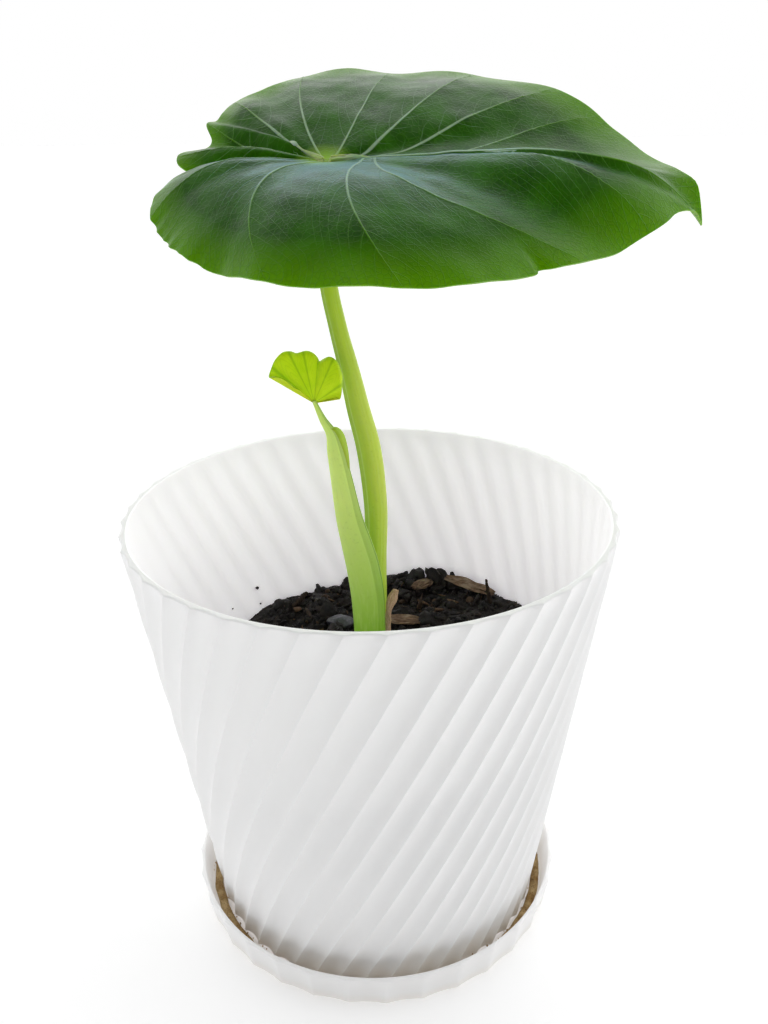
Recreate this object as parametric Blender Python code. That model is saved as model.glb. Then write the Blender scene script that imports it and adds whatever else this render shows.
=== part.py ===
"""A young alocasia in a spiral-fluted pot on its saucer.

Every piece is one closed solid in its own named object. Sizes are written in
millimetres and turned into metres by MM. The origin is the centre of the
saucer's underside, +Z is up and -Y is the side that the plant shows best.
"""

import math
import random

import bmesh
import bpy
from mathutils import Matrix, Vector

MM = 0.001

# The clearance that touching pieces keep.
GAP = 0.3

# The saucer: a shallow dish whose outside is a ring of hollow facets.
SAUCER_HEIGHT = 14.7
SAUCER_FLOOR = 2.0
SAUCER_FOOT_RADIUS = 71.3
SAUCER_LOWER_RADIUS = 72.3
SAUCER_UPPER_RADIUS = 74.7
SAUCER_INNER_LOWER_RADIUS = 70.2
SAUCER_INNER_UPPER_RADIUS = 72.5
SAUCER_FACETS = 33
SAUCER_FACET_STEPS = 3
SAUCER_FACET_DEPTH = 0.9

# The pot: a tapered bucket with sharp ridges that climb in a spiral.
POT_BASE_Z = SAUCER_FLOOR + GAP
POT_RIM_Z = 167.5
POT_RIDGE_LOWER_RADIUS = 65.4
POT_RIDGE_UPPER_RADIUS = 89.0
POT_FLUTES = 45
POT_FLUTE_STEPS = 4
POT_FLUTE_DEPTH = 1.5
POT_TWIST = math.radians(57)
POT_LEVELS = 8
POT_FLOOR_TOP_Z = 7.3
POT_FLOOR_UNDER_Z = 5.3
POT_FOOT_INNER_RADIUS = 59.5
POT_INNER_LOWER_RADIUS = 62.4
POT_INNER_UPPER_RADIUS = 86.0
POT_EDGE = 0.4
DRAIN_HOLES = 6
DRAIN_HOLE_RADIUS = 4.5
DRAIN_HOLE_CIRCLE = 40.0

# The silt that watering has washed into the gap between pot and saucer.
SILT_RADIUS = 67.7
SILT_HALF_WIDTH = 1.5
SILT_HEIGHT = 2.4

# The compost, higher on the right and at the back.
SOIL_LEVEL = 95.5
SOIL_SLOPE_X = 0.075
SOIL_SLOPE_Y = 0.02
SOIL_BUMP = 1.3
SOIL_WALL_GAP = 0.4
SOIL_SIDES = 60

# The pocket in the compost that holds the corm and the feet of the stems.
POCKET_CENTRE = (0.2, -1.2)
POCKET_NECK = (8.2, 11.6)
POCKET_LEVELS = ((92.0, 8.2, 11.6), (87.0, 14.0, 14.0), (78.0, 16.0, 16.0),
                 (69.0, 13.0, 13.0), (64.5, 7.0, 7.0))
CORM_LEVELS = ((65.5, 4.5), (69.5, 10.5), (77.0, 14.0), (84.0, 12.6),
               (88.5, 9.2), (92.0, 7.6), (95.0, 6.8))

# Stems: x, y, z, half-width across and half-width front to back.
MATURE_PETIOLE = ((1.0, 4.0, 95.4, 5.3, 5.3), (1.0, 4.0, 110, 4.9, 4.9),
                  (1.2, 4.2, 126, 4.5, 4.5), (1.8, 4.6, 146, 4.2, 4.2),
                  (2.2, 5.2, 166, 4.2, 4.0), (0.0, 6.0, 188, 4.3, 3.9),
                  (-3.6, 6.5, 204, 4.0, 3.7), (-6.7, 6.8, 219, 3.5, 3.4),
                  (-9.4, 6.2, 231, 3.1, 3.1), (-12.1, 5.3, 246, 2.9, 2.9),
                  (-13.2, 4.6, 262, 2.8, 2.8), (-12.3, 4.2, 275, 2.8, 2.8),
                  (-11.9, 4.0, 283, 2.9, 2.9))
YOUNG_PETIOLE = ((-0.5, -7.0, 95.4, 5.8, 4.5), (-0.6, -7.2, 108, 5.8, 4.6),
                 (-0.7, -7.2, 121, 5.9, 4.6), (-1.2, -6.8, 135, 6.2, 4.5),
                 (-2.9, -6.6, 147, 6.1, 4.4), (-4.9, -6.3, 156, 5.6, 4.2),
                 (-7.2, -6.0, 166, 4.8, 3.8), (-9.6, -6.0, 182, 3.8, 3.1),
                 (-11.3, -6.0, 192, 3.0, 2.5), (-12.5, -6.0, 198, 2.0, 1.9),
                 (-15.2, -6.0, 203, 1.3, 1.3), (-17.6, -6.0, 208.6, 0.8, 0.8))
DRIED_STUB = ((6.5, -1.8, 95.6, 1.3, 0.6), (6.2, -1.8, 112, 1.2, 0.6),
              (6.1, -1.8, 122, 1.0, 0.6), (6.8, -1.8, 127.5, 1.3, 0.6),
              (8.2, -1.7, 131, 1.5, 0.7), (9.3, -1.7, 134, 0.9, 0.5))
STEM_SIDES = 14

# The grown leaf is a net of ribs that run out from the top of its stem.
# Each rib: its direction seen from above (0 points to the leaf's tip), its
# length, the height of its end, how late it bends down, and how it arches.
BLADE_JUNCTION = (-11.9, 4.0, 285.3)
BLADE_THICKNESS = 0.7
BLADE_RIBS = (
    (-2, 120.2, -20.7, 8.0, 2.5), (-0.5, 120, -14, 6.0, 2.0), (1.2, 119.3, -8.5, 4.0, 2.0),
    (3, 115.6, -5.7, 2.0, 2.0), (8, 111, -2.5, 2.0, 2.5), (18, 105, 7, 1.5, 2.5),
    (27, 98, 16, 1.1, 3.5), (37, 90, 22, 1.0, 4.0), (49, 82, 25, 1.0, 4.5),
    (63, 75, 26, 1.0, 4.5), (76, 71, 27, 1.0, 4.5), (89, 67, 27, 1.0, 4.5),
    (101, 63, 25.5, 1.0, 4.0), (114, 58, 20.5, 1.0, 3.5), (126, 57, 18, 1.0, 3.0),
    (133, 55, 14, 1.0, 2.5), (137, 53, 11, 1.0, 2.0), (142, 53, 10, 1.0, 2.5),
    (148, 46, 5.6, 1.8, -0.5), (156, 47, 3.5, 1.2, 0.5), (161, 49, 3, 1.0, 2.0),
    (166, 50, 1, 1.0, 2.5), (171, 48, -1.5, 1.2, 0.5), (175, 38, -4, 1.2, -1.0),
    (178, 17, -2.5, 1.0, 0.0), (181, 36, -2, 2.0, 1.5), (184, 47, -3, 5.0, 1.5),
    (189, 52, -7, 5.0, 1.5), (196, 55, -12, 4.0, 1.5), (204, 56, -16, 3.0, 1.0),
    (219, 56, -21, 2.6, 0.5), (235, 56, -25, 2.4, 0.0), (249, 59, -26, 2.3, 0.0),
    (269, 64, -26.7, 2.3, 0.0), (288, 69, -26.8, 2.3, 0.0), (306, 74, -27.6, 2.3, 0.0),
    (317, 78, -27, 2.3, 0.0), (326, 81, -26, 2.4, 0.0), (340, 92, -25, 2.6, 0.5),
    (350, 107, -17, 4.0, 1.5), (354, 112, -15, 5.0, 2.0), (356.5, 117.5, -16, 5.0, 2.0))
BLADE_STEPS = (0.16, 0.32, 0.48, 0.64, 0.78, 0.9, 1.0)

# The unfurling leaf: points of its edge, from the lower right over the top to
# the pointed left end, as x and z from the foot of the leaf.
YOUNG_BLADE_FOOT = (-18.0, -6.0, 209.3)
YOUNG_BLADE_EDGE = ((8.6, 0.6), (9.6, 4.6), (9.0, 9.6), (6.0, 13.0), (1.8, 13.4),
                    (-1.6, 14.8), (-4.4, 14.4), (-7.6, 14.8), (-10.4, 14.0),
                    (-13.2, 11.4), (-14.6, 8.6), (-9.8, 7.0), (-5.4, 4.2))
YOUNG_BLADE_THICKNESS = 0.6
YOUNG_BLADE_CUP = 7.0
YOUNG_BLADE_STEPS = (0.1, 0.28, 0.46, 0.64, 0.82, 1.0)

# Litter on the compost: centre x and y, turn, tilt, length, width, thickness.
BARK_CHIPS = {
    "bark_chip_large": (42.5, 53.5, -30, 6, 23, 9, 2.6),
    "bark_chip_flat": (13.0, 33.5, -4, 2, 15, 9, 2.2),
    "bark_chip_curled": (-40.0, -18.0, 65, 4, 17, 8, 2.4),
    "bark_chip_small_1": (30.0, -28.0, 20, 3, 11, 7, 2.0),
    "bark_chip_small_2": (-20.0, -48.0, 140, 5, 12, 6, 1.8),
    "bark_chip_small_3": (-52.0, 18.0, 100, 4, 10, 6, 2.2),
    "bark_chip_small_4": (22.0, 60.0, 50, 5, 12, 8, 3.0)}
BARK_SEED = 7

# Twigs: x, y and height above the compost, then the radius.
TWIGS = {
    "twig_upright": ((50.5, 42.0, 1.4, 0.9), (49.6, 42.6, 6.0, 0.8),
                     (48.4, 43.0, 12.5, 0.5)),
    "twig_left": ((-37.0, 52.0, 1.6, 0.9), (-33.5, 56.0, 2.6, 1.0),
                  (-30.0, 60.0, 4.6, 0.8))}
CHARCOAL_LUMP = (-14.0, 33.5, 6.0, 4.2, 3.0)


def principled(name, colour, roughness, metallic=0.0):
    """A plain material with the piece's colour and sheen."""
    material = bpy.data.materials.new(name)
    material.use_nodes = True
    shader = material.node_tree.nodes["Principled BSDF"]
    shader.inputs["Base Color"].default_value = (*colour, 1.0)
    shader.inputs["Roughness"].default_value = roughness
    shader.inputs["Metallic"].default_value = metallic
    material.diffuse_color = (*colour, 1.0)
    return material


def finish(name, bm, material, sharp_angle=35):
    """Turn a bmesh drawn in millimetres into a named object in metres."""
    bmesh.ops.recalc_face_normals(bm, faces=bm.faces)
    bmesh.ops.scale(bm, vec=(MM, MM, MM), verts=bm.verts)
    mesh = bpy.data.meshes.new(name)
    bm.to_mesh(mesh)
    bm.free()
    mesh.materials.append(material)
    mesh.shade_smooth()
    mesh.set_sharp_from_angle(angle=math.radians(sharp_angle))
    obj = bpy.data.objects.new(name, mesh)
    bpy.context.collection.objects.link(obj)
    return obj


def add_ring(bm, points):
    return [bm.verts.new(point) for point in points]


def join_rings(bm, lower, upper):
    """Quads between two closed rings of the same length."""
    count = len(lower)
    for i in range(count):
        following = (i + 1) % count
        bm.faces.new((lower[i], lower[following], upper[following], upper[i]))


def ring_solid(bm, rings):
    """A closed solid through a stack of rings, capped at both ends."""
    loops = [add_ring(bm, ring) for ring in rings]
    for lower, upper in zip(loops, loops[1:]):
        join_rings(bm, lower, upper)
    bm.faces.new(reversed(loops[0]))
    bm.faces.new(loops[-1])


def circle(radius, z, count, centre=(0.0, 0.0), radius_y=None):
    depth = radius if radius_y is None else radius_y
    angles = [math.tau * i / count for i in range(count)]
    return [(centre[0] + radius * math.cos(a), centre[1] + depth * math.sin(a), z)
            for a in angles]


def fluted_circle(ridge_radius, z, flutes, steps, depth, turn=0.0):
    """A ring of shallow hollows between sharp ridges."""
    points = []
    for i in range(flutes * steps):
        across = (i % steps) / steps
        radius = ridge_radius - depth * 4 * across * (1 - across)
        angle = turn + math.tau * i / (flutes * steps)
        points.append((radius * math.cos(angle), radius * math.sin(angle), z))
    return points


def pot_inner_radius(z):
    climb = (z - POT_FLOOR_TOP_Z) / (POT_RIM_Z - POT_FLOOR_TOP_Z)
    return POT_INNER_LOWER_RADIUS + climb * (POT_INNER_UPPER_RADIUS - POT_INNER_LOWER_RADIUS)


def spiral_turn(radius):
    """The ridges lean alike all the way up, so they turn fastest where the pot is narrow."""
    climb = math.log(radius / POT_RIDGE_LOWER_RADIUS)
    return POT_TWIST * climb / math.log(POT_RIDGE_UPPER_RADIUS / POT_RIDGE_LOWER_RADIUS)


def make_saucer():
    def faceted(radius, z):
        return fluted_circle(radius, z, SAUCER_FACETS, SAUCER_FACET_STEPS, SAUCER_FACET_DEPTH)

    count = SAUCER_FACETS * SAUCER_FACET_STEPS
    rings = [circle(SAUCER_FOOT_RADIUS - SAUCER_FACET_DEPTH, 0.0, count),
             faceted(SAUCER_LOWER_RADIUS, 1.0),
             faceted(SAUCER_UPPER_RADIUS, SAUCER_HEIGHT - POT_EDGE),
             faceted(SAUCER_UPPER_RADIUS - POT_EDGE, SAUCER_HEIGHT),
             circle(SAUCER_INNER_UPPER_RADIUS, SAUCER_HEIGHT, count),
             circle(SAUCER_INNER_LOWER_RADIUS, SAUCER_FLOOR + 1.0, count),
             circle(SAUCER_INNER_LOWER_RADIUS - 1.0, SAUCER_FLOOR, count)]
    bm = bmesh.new()
    ring_solid(bm, rings)
    return finish("saucer", bm, principled("white_plastic_saucer", (0.82, 0.83, 0.83), 0.38))


def make_pot():
    count = POT_FLUTES * POT_FLUTE_STEPS
    rings = [circle(POT_FOOT_INNER_RADIUS, POT_FLOOR_UNDER_Z, count),
             circle(POT_FOOT_INNER_RADIUS, POT_BASE_Z, count)]
    top = POT_RIM_Z - POT_EDGE
    for level in range(POT_LEVELS + 1):
        climb = level / POT_LEVELS
        radius = POT_RIDGE_LOWER_RADIUS + climb * (POT_RIDGE_UPPER_RADIUS - POT_RIDGE_LOWER_RADIUS)
        z = POT_BASE_Z + climb * (top - POT_BASE_Z)
        rings.append(fluted_circle(radius, z, POT_FLUTES, POT_FLUTE_STEPS,
                                   POT_FLUTE_DEPTH, spiral_turn(radius)))
    rings.append(fluted_circle(POT_RIDGE_UPPER_RADIUS - POT_EDGE, POT_RIM_Z, POT_FLUTES,
                               POT_FLUTE_STEPS, POT_FLUTE_DEPTH * 0.8, POT_TWIST))
    # The inside is smooth, so its rings keep the turn of the last outer ring.
    for radius, z in ((POT_INNER_UPPER_RADIUS, POT_RIM_Z),
                      (POT_INNER_LOWER_RADIUS, POT_FLOOR_TOP_Z)):
        rings.append(fluted_circle(radius, z, POT_FLUTES, POT_FLUTE_STEPS, 0.0, POT_TWIST))
    bm = bmesh.new()
    ring_solid(bm, rings)
    pot = finish("pot", bm, principled("white_plastic_pot", (0.82, 0.83, 0.83), 0.38), 30)

    bm = bmesh.new()
    for i in range(DRAIN_HOLES):
        angle = math.tau * i / DRAIN_HOLES
        place = Matrix.Translation((DRAIN_HOLE_CIRCLE * math.cos(angle),
                                    DRAIN_HOLE_CIRCLE * math.sin(angle), POT_FLOOR_TOP_Z))
        bmesh.ops.create_cone(bm, cap_ends=True, segments=16, radius1=DRAIN_HOLE_RADIUS,
                              radius2=DRAIN_HOLE_RADIUS, depth=10.0, matrix=place)
    cutter = finish("drain_hole_cutter", bm, pot.data.materials[0])
    cutter.hide_render = True
    cutter.display_type = 'WIRE'
    cut = pot.modifiers.new("drain_holes", 'BOOLEAN')
    cut.operation = 'DIFFERENCE'
    cut.object = cutter
    return pot


def make_silt():
    """A low, uneven bank of grit all the way round the foot of the pot."""
    around = 48
    bm = bmesh.new()
    sections = []
    for i in range(around):
        angle = math.tau * i / around
        swell = 0.8 + 0.2 * math.sin(3 * angle + 1.0) * math.cos(5 * angle)
        floor_z = SAUCER_FLOOR + GAP
        corners = ((-SILT_HALF_WIDTH, floor_z), (SILT_HALF_WIDTH * 0.8, floor_z),
                   (SILT_HALF_WIDTH * 1.2, floor_z + SILT_HEIGHT * 0.7 * swell),
                   (-SILT_HALF_WIDTH * 0.5, floor_z + SILT_HEIGHT * swell))
        section = []
        for offset, z in corners:
            radius = SILT_RADIUS + offset
            section.append(bm.verts.new((radius * math.cos(angle), radius * math.sin(angle), z)))
        sections.append(section)
    for i in range(around):
        join_rings(bm, sections[i], sections[(i + 1) % around])
    return finish("washed_out_silt", bm, principled("tan_silt", (0.42, 0.30, 0.16), 0.95), 60)


def soil_height(x, y):
    """The top of the compost: a slope with a few slow swells."""
    swell = math.sin(x * 0.09 + 0.6) * math.cos(y * 0.08 - 0.4)
    return SOIL_LEVEL + SOIL_SLOPE_X * x + SOIL_SLOPE_Y * y + SOIL_BUMP * swell


def make_soil():
    bottom = POT_FLOOR_TOP_Z + GAP
    rings = []
    for share in (0.0, 0.5):
        z = bottom + share * (SOIL_LEVEL - bottom)
        rings.append(circle(pot_inner_radius(z) - SOIL_WALL_GAP, z, SOIL_SIDES))
    rim = []
    for x, y, _ in circle(1.0, 0.0, SOIL_SIDES):
        z = soil_height(x * pot_inner_radius(SOIL_LEVEL), y * pot_inner_radius(SOIL_LEVEL))
        radius = pot_inner_radius(z) - SOIL_WALL_GAP
        rim.append((x * radius, y * radius, z))
    rings.append(rim)
    neck = circle(POCKET_NECK[0], 0.0, SOIL_SIDES, POCKET_CENTRE, POCKET_NECK[1])
    for share in (0.1, 0.3, 0.5, 0.7, 0.85, 1.0):
        ring = []
        for outer, inner in zip(rim, neck):
            x = outer[0] + share * (inner[0] - outer[0])
            y = outer[1] + share * (inner[1] - outer[1])
            ring.append((x, y, soil_height(x, y)))
        rings.append(ring)
    for z, radius_x, radius_y in POCKET_LEVELS:
        rings.append(circle(radius_x, z, SOIL_SIDES, POCKET_CENTRE, radius_y))
    bm = bmesh.new()
    ring_solid(bm, rings)
    return finish("soil", bm, principled("dark_compost", (0.022, 0.017, 0.013), 0.95), 60)


def make_corm():
    bm = bmesh.new()
    ring_solid(bm, [circle(radius, z, 24, POCKET_CENTRE) for z, radius in CORM_LEVELS])
    return finish("corm", bm, principled("brown_corm", (0.17, 0.10, 0.05), 0.8), 60)


def make_stem(name, stations, material, sides=STEM_SIDES):
    """A stem through its stations, each ring square to the stem's course."""
    rings = []
    for i, (x, y, z, half_x, half_y) in enumerate(stations):
        before = Vector(stations[max(i - 1, 0)][:3])
        after = Vector(stations[min(i + 1, len(stations) - 1)][:3])
        along = (after - before).normalized()
        if i in (0, len(stations) - 1):
            along = Vector((0.0, 0.0, 1.0))
        across = Vector((0.0, 1.0, 0.0)).cross(along).normalized()
        forward = along.cross(across)
        centre = Vector((x, y, z))
        rings.append([centre + across * half_x * math.cos(a) + forward * half_y * math.sin(a)
                      for a in (math.tau * k / sides for k in range(sides))])
    bm = bmesh.new()
    ring_solid(bm, rings)
    return finish(name, bm, material, 60)


def rib_at(angle):
    """The rib in any direction, smoothly blended from its neighbours."""
    ribs = [tuple(rib) for rib in BLADE_RIBS]
    first = ribs[0]
    wrapped = ([(ribs[-1][0] - 360, *ribs[-1][1:])] + ribs
               + [(first[0] + 360, *first[1:]), (ribs[1][0] + 360, *ribs[1][1:])])
    span = 1
    while wrapped[span + 1][0] < angle:
        span += 1
    before, start, end, after = wrapped[span - 1:span + 3]
    width = end[0] - start[0]
    s = (angle - start[0]) / width
    values = []
    for k in range(1, 5):
        slope_start = (end[k] - before[k]) / (end[0] - before[0]) * width
        slope_end = (after[k] - start[k]) / (after[0] - start[0]) * width
        values.append((2 * s ** 3 - 3 * s ** 2 + 1) * start[k]
                      + (s ** 3 - 2 * s ** 2 + s) * slope_start
                      + (3 * s ** 2 - 2 * s ** 3) * end[k]
                      + (s ** 3 - s ** 2) * slope_end)
    return values


def blade_point(angle, share):
    """A point on the grown leaf, share of the way from its stem to its edge."""
    length, rise, lateness, arch = rib_at(angle)
    height = rise * share ** lateness + arch * math.sin(math.pi * share)
    direction = math.radians(angle)
    return Vector(BLADE_JUNCTION) + Vector((share * length * math.cos(direction),
                                            share * length * math.sin(direction), height))


def thicken(obj, thickness):
    """Make a sheet a closed leaf, with its own skin as the upper side."""
    solid = obj.modifiers.new("leaf_thickness", 'SOLIDIFY')
    solid.thickness = thickness * MM
    solid.offset = -1.0


def make_mature_leaf():
    angles = []
    directions = [rib[0] for rib in BLADE_RIBS] + [BLADE_RIBS[0][0] + 360]
    for start, end in zip(directions, directions[1:]):
        angles += [start, (start + end) / 2]
    bm = bmesh.new()
    centre = bm.verts.new(BLADE_JUNCTION)
    previous = None
    for share in BLADE_STEPS:
        ring = add_ring(bm, [blade_point(angle, share) for angle in angles])
        if previous is None:
            for i in range(len(ring)):
                bm.faces.new((centre, ring[i], ring[(i + 1) % len(ring)]))
        else:
            join_rings(bm, previous, ring)
        previous = ring
    material = principled("waxy_green_leaf", (0.05, 0.16, 0.04), 0.36)
    leaf = finish("mature_leaf_blade", bm, material, 60)
    thicken(leaf, BLADE_THICKNESS)
    return leaf


def make_young_leaf():
    """A small cupped fan that is still opening."""
    foot = Vector(YOUNG_BLADE_FOOT)
    count = len(YOUNG_BLADE_EDGE)
    bm = bmesh.new()
    grid = []
    for share in YOUNG_BLADE_STEPS:
        row = []
        for i, (x, z) in enumerate(YOUNG_BLADE_EDGE):
            lean = YOUNG_BLADE_CUP * share * math.sin(math.pi * i / (count - 1))
            row.append(bm.verts.new(foot + Vector((x * share, lean, z * share + 0.6))))
        grid.append(row)
    for lower, upper in zip(grid, grid[1:]):
        for i in range(count - 1):
            bm.faces.new((lower[i], lower[i + 1], upper[i + 1], upper[i]))
    material = principled("yellow_green_young_leaf", (0.36, 0.55, 0.07), 0.42)
    leaf = finish("young_leaf_blade", bm, material, 60)
    thicken(leaf, YOUNG_BLADE_THICKNESS)
    return leaf


def make_bark_chip(name, spec, rng, material):
    """A splintered slab, narrower at its ends and set just clear of the compost."""
    x, y, turn, tilt, length, width, thickness = spec
    rings = []
    for share in (0.0, 0.2, 0.5, 0.8, 1.0):
        along = (share - 0.5) * length
        taper = 0.45 + 0.55 * math.sin(math.pi * (0.1 + 0.8 * share))
        half_width = width / 2 * taper * rng.uniform(0.85, 1.0)
        half_height = thickness / 2 * taper
        crown = half_height * rng.uniform(0.9, 1.3)
        rings.append([Vector((along, -half_width, -half_height)),
                      Vector((along, half_width, -half_height)),
                      Vector((along, half_width * 0.8, crown)),
                      Vector((along, -half_width * 0.7, crown))])
    tilt = math.radians(tilt)
    lift = math.sin(abs(tilt)) * length / 2 + thickness
    reach = [(x + dx, y + dy) for dx in (-length / 2, 0, length / 2)
             for dy in (-length / 2, 0, length / 2)]
    ground = max(soil_height(px, py) for px, py in reach)
    place = (Matrix.Translation((x, y, ground + GAP + lift))
             @ Matrix.Rotation(math.radians(turn), 4, 'Z') @ Matrix.Rotation(tilt, 4, 'Y'))
    bm = bmesh.new()
    ring_solid(bm, [[place @ corner for corner in ring] for ring in rings])
    return finish(name, bm, material, 30)


def make_twig(name, course, material):
    stations = [(x, y, soil_height(x, y) + above, radius, radius)
                for x, y, above, radius in course]
    return make_stem(name, stations, material, 8)


def make_charcoal_lump():
    x, y, half_x, half_y, half_z = CHARCOAL_LUMP
    bm = bmesh.new()
    bmesh.ops.create_icosphere(bm, subdivisions=2, radius=1.0)
    rng = random.Random(BARK_SEED)
    top = soil_height(x, y) + half_z + 1.0
    for vert in bm.verts:
        vert.co *= rng.uniform(0.86, 1.0)
        vert.co = Vector((x + vert.co.x * half_x, y + vert.co.y * half_y,
                          top + vert.co.z * half_z))
    return finish("charcoal_lump", bm, principled("grey_charcoal", (0.03, 0.03, 0.035), 0.45), 20)


def main():
    for obj in list(bpy.data.objects):
        bpy.data.objects.remove(obj)

    make_saucer()
    make_pot()
    make_silt()
    make_soil()
    make_corm()

    stem_green = principled("green_petiole", (0.27, 0.48, 0.07), 0.4)
    young_green = principled("light_green_sheath", (0.30, 0.52, 0.08), 0.4)
    straw = principled("straw_stub", (0.45, 0.30, 0.15), 0.85)
    make_stem("mature_petiole", MATURE_PETIOLE, stem_green)
    make_stem("young_petiole", YOUNG_PETIOLE, young_green)
    make_stem("dried_sheath_stub", DRIED_STUB, straw, 8)
    make_mature_leaf()
    make_young_leaf()

    bark = principled("brown_bark", (0.13, 0.075, 0.045), 0.9)
    rng = random.Random(BARK_SEED)
    for name, spec in BARK_CHIPS.items():
        make_bark_chip(name, spec, rng, bark)
    dark_wood = principled("dark_twig", (0.035, 0.024, 0.018), 0.85)
    for name, course in TWIGS.items():
        make_twig(name, course, dark_wood)
    make_charcoal_lump()


main()
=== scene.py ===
# %% [markdown]
# # A young alocasia in a white spiral pot
# The CAD frame holds every piece of this plant at its real size. Here each
# piece gets the surface that the real one shows: a leaf with sunken veins and
# a waxy bloom, juicy green stems, crumbly compost and satin white plastic.
# Everything is in metres, +Z is up, and the leaf's tip points along +X.

import math
import random
from functools import partial

import bpy
import numpy as np
from mathutils import Matrix, Vector, noise


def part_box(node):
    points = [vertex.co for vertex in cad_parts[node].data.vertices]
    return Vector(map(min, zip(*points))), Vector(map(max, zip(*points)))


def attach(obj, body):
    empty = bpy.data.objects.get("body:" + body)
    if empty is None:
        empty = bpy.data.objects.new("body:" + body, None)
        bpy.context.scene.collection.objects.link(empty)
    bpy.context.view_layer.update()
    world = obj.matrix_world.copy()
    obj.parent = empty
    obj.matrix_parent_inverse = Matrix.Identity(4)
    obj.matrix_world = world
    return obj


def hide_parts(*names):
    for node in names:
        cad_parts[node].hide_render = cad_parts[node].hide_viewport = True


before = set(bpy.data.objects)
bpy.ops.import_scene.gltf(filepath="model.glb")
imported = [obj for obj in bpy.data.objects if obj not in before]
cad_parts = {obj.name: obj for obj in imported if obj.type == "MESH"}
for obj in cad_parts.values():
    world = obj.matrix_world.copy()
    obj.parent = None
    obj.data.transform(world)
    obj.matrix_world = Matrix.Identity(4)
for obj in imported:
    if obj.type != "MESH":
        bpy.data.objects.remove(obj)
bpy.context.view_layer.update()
MM = 0.001
print("CAD nodes:", ", ".join(sorted(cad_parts)))

# %% [markdown]
# ## Helpers
# Blender's operators act on what is selected, so one helper selects a single
# object, and another keeps a finished piece: it gives the piece its name, its
# material and smooth shading, and lets it stand for its CAD node.

# %% Selecting and keeping
def select_only(obj):
    bpy.ops.object.select_all(action='DESELECT')
    obj.select_set(True)
    bpy.context.view_layer.objects.active = obj


def apply_modifiers(obj):
    select_only(obj)
    for modifier in list(obj.modifiers):
        bpy.ops.object.modifier_apply(modifier=modifier.name)


def keep(obj, name, materials, nodes=(), smooth=35):
    """Finish a piece, print its size and let it stand for its CAD nodes."""
    select_only(obj)
    bpy.ops.object.transform_apply(location=True, rotation=True, scale=True)
    obj.name = name
    for material in materials:
        obj.data.materials.append(material)
    bpy.ops.object.shade_smooth_by_angle(angle=math.radians(smooth))
    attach(obj, "root")
    if nodes:
        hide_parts(*nodes)
    size = ", ".join(f"{side / MM:.0f}" for side in obj.dimensions)
    print(f"{name}: {len(obj.data.polygons)} faces, {size} mm")
    return obj


# %% Edit mode
def edit(obj, mode='VERT'):
    select_only(obj)
    bpy.ops.object.mode_set(mode='EDIT')
    bpy.ops.mesh.select_mode(type=mode)


def leave_edit():
    bpy.ops.object.mode_set(mode='OBJECT')


def coordinates(obj):
    """All of a mesh's points as one array."""
    points = np.empty(len(obj.data.vertices) * 3)
    obj.data.vertices.foreach_get("co", points)
    return points.reshape(-1, 3)


def place_points(obj, points):
    obj.data.vertices.foreach_set("co", np.asarray(points, dtype=float).ravel())
    obj.data.update()


def select_verts(obj, test):
    """Select the points that pass a test, which reads all points as one array."""
    leave_edit()
    mask = np.asarray(test(coordinates(obj)), dtype=bool)
    obj.data.polygons.foreach_set("select", np.zeros(len(obj.data.polygons), dtype=bool))
    obj.data.edges.foreach_set("select", np.zeros(len(obj.data.edges), dtype=bool))
    obj.data.vertices.foreach_set("select", mask)
    edit(obj)


def add_attribute(obj, name, values):
    layer = obj.data.attributes.new(name, 'FLOAT', 'POINT')
    layer.data.foreach_set("value", np.asarray(values, dtype=float))


def read_attribute(obj, name):
    values = np.empty(len(obj.data.vertices))
    obj.data.attributes[name].data.foreach_get("value", values)
    return values


def face_outwards(obj, merge=None):
    """Merge points that lie this close, then turn every face outwards."""
    leave_edit()
    edit(obj)
    bpy.ops.mesh.select_all(action='SELECT')
    if merge:
        bpy.ops.mesh.remove_doubles(threshold=merge)
    bpy.ops.mesh.normals_make_consistent(inside=False)
    leave_edit()


# %% [markdown]
# ## Camera, light and floor
# A white room with very soft light. Its walls are bright behind and at the
# sides and darker in front, which shades the flutes of the pot and puts a pale
# sheen on the leaf. One softbox stands at the right and one high in front.

# %% Camera
CAMERA_TARGET = Vector((5.2, 0.0, 165.4)) * MM
CAMERA_DISTANCE = 346.1 * MM
CAMERA_ELEVATION = math.radians(24.13)
CAMERA_ROLL = math.radians(-0.86)
CAMERA_LENS = 33.4

bpy.ops.object.camera_add()
camera = bpy.context.active_object
camera.data.lens = CAMERA_LENS
camera.data.sensor_width = 36.0
camera.data.clip_start = 0.01
back = Vector((0.0, -math.cos(CAMERA_ELEVATION), math.sin(CAMERA_ELEVATION)))
camera.location = CAMERA_TARGET + back * CAMERA_DISTANCE
level = Matrix.Rotation(math.pi / 2 - CAMERA_ELEVATION, 3, 'X')
camera.rotation_euler = (level @ Matrix.Rotation(CAMERA_ROLL, 3, 'Z')).to_euler()
bpy.context.scene.camera = camera
print("camera at", [round(value, 3) for value in camera.location])

# %% Colours and nodes
def srgb(code):
    """A hex colour such as '3A5F2B' as linear red, green, blue and alpha."""
    channels = [int(code[i:i + 2], 16) / 255 for i in (0, 2, 4)]
    return tuple(c / 12.92 if c <= 0.04045 else ((c + 0.055) / 1.055) ** 2.4
                 for c in channels) + (1.0,)


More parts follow.
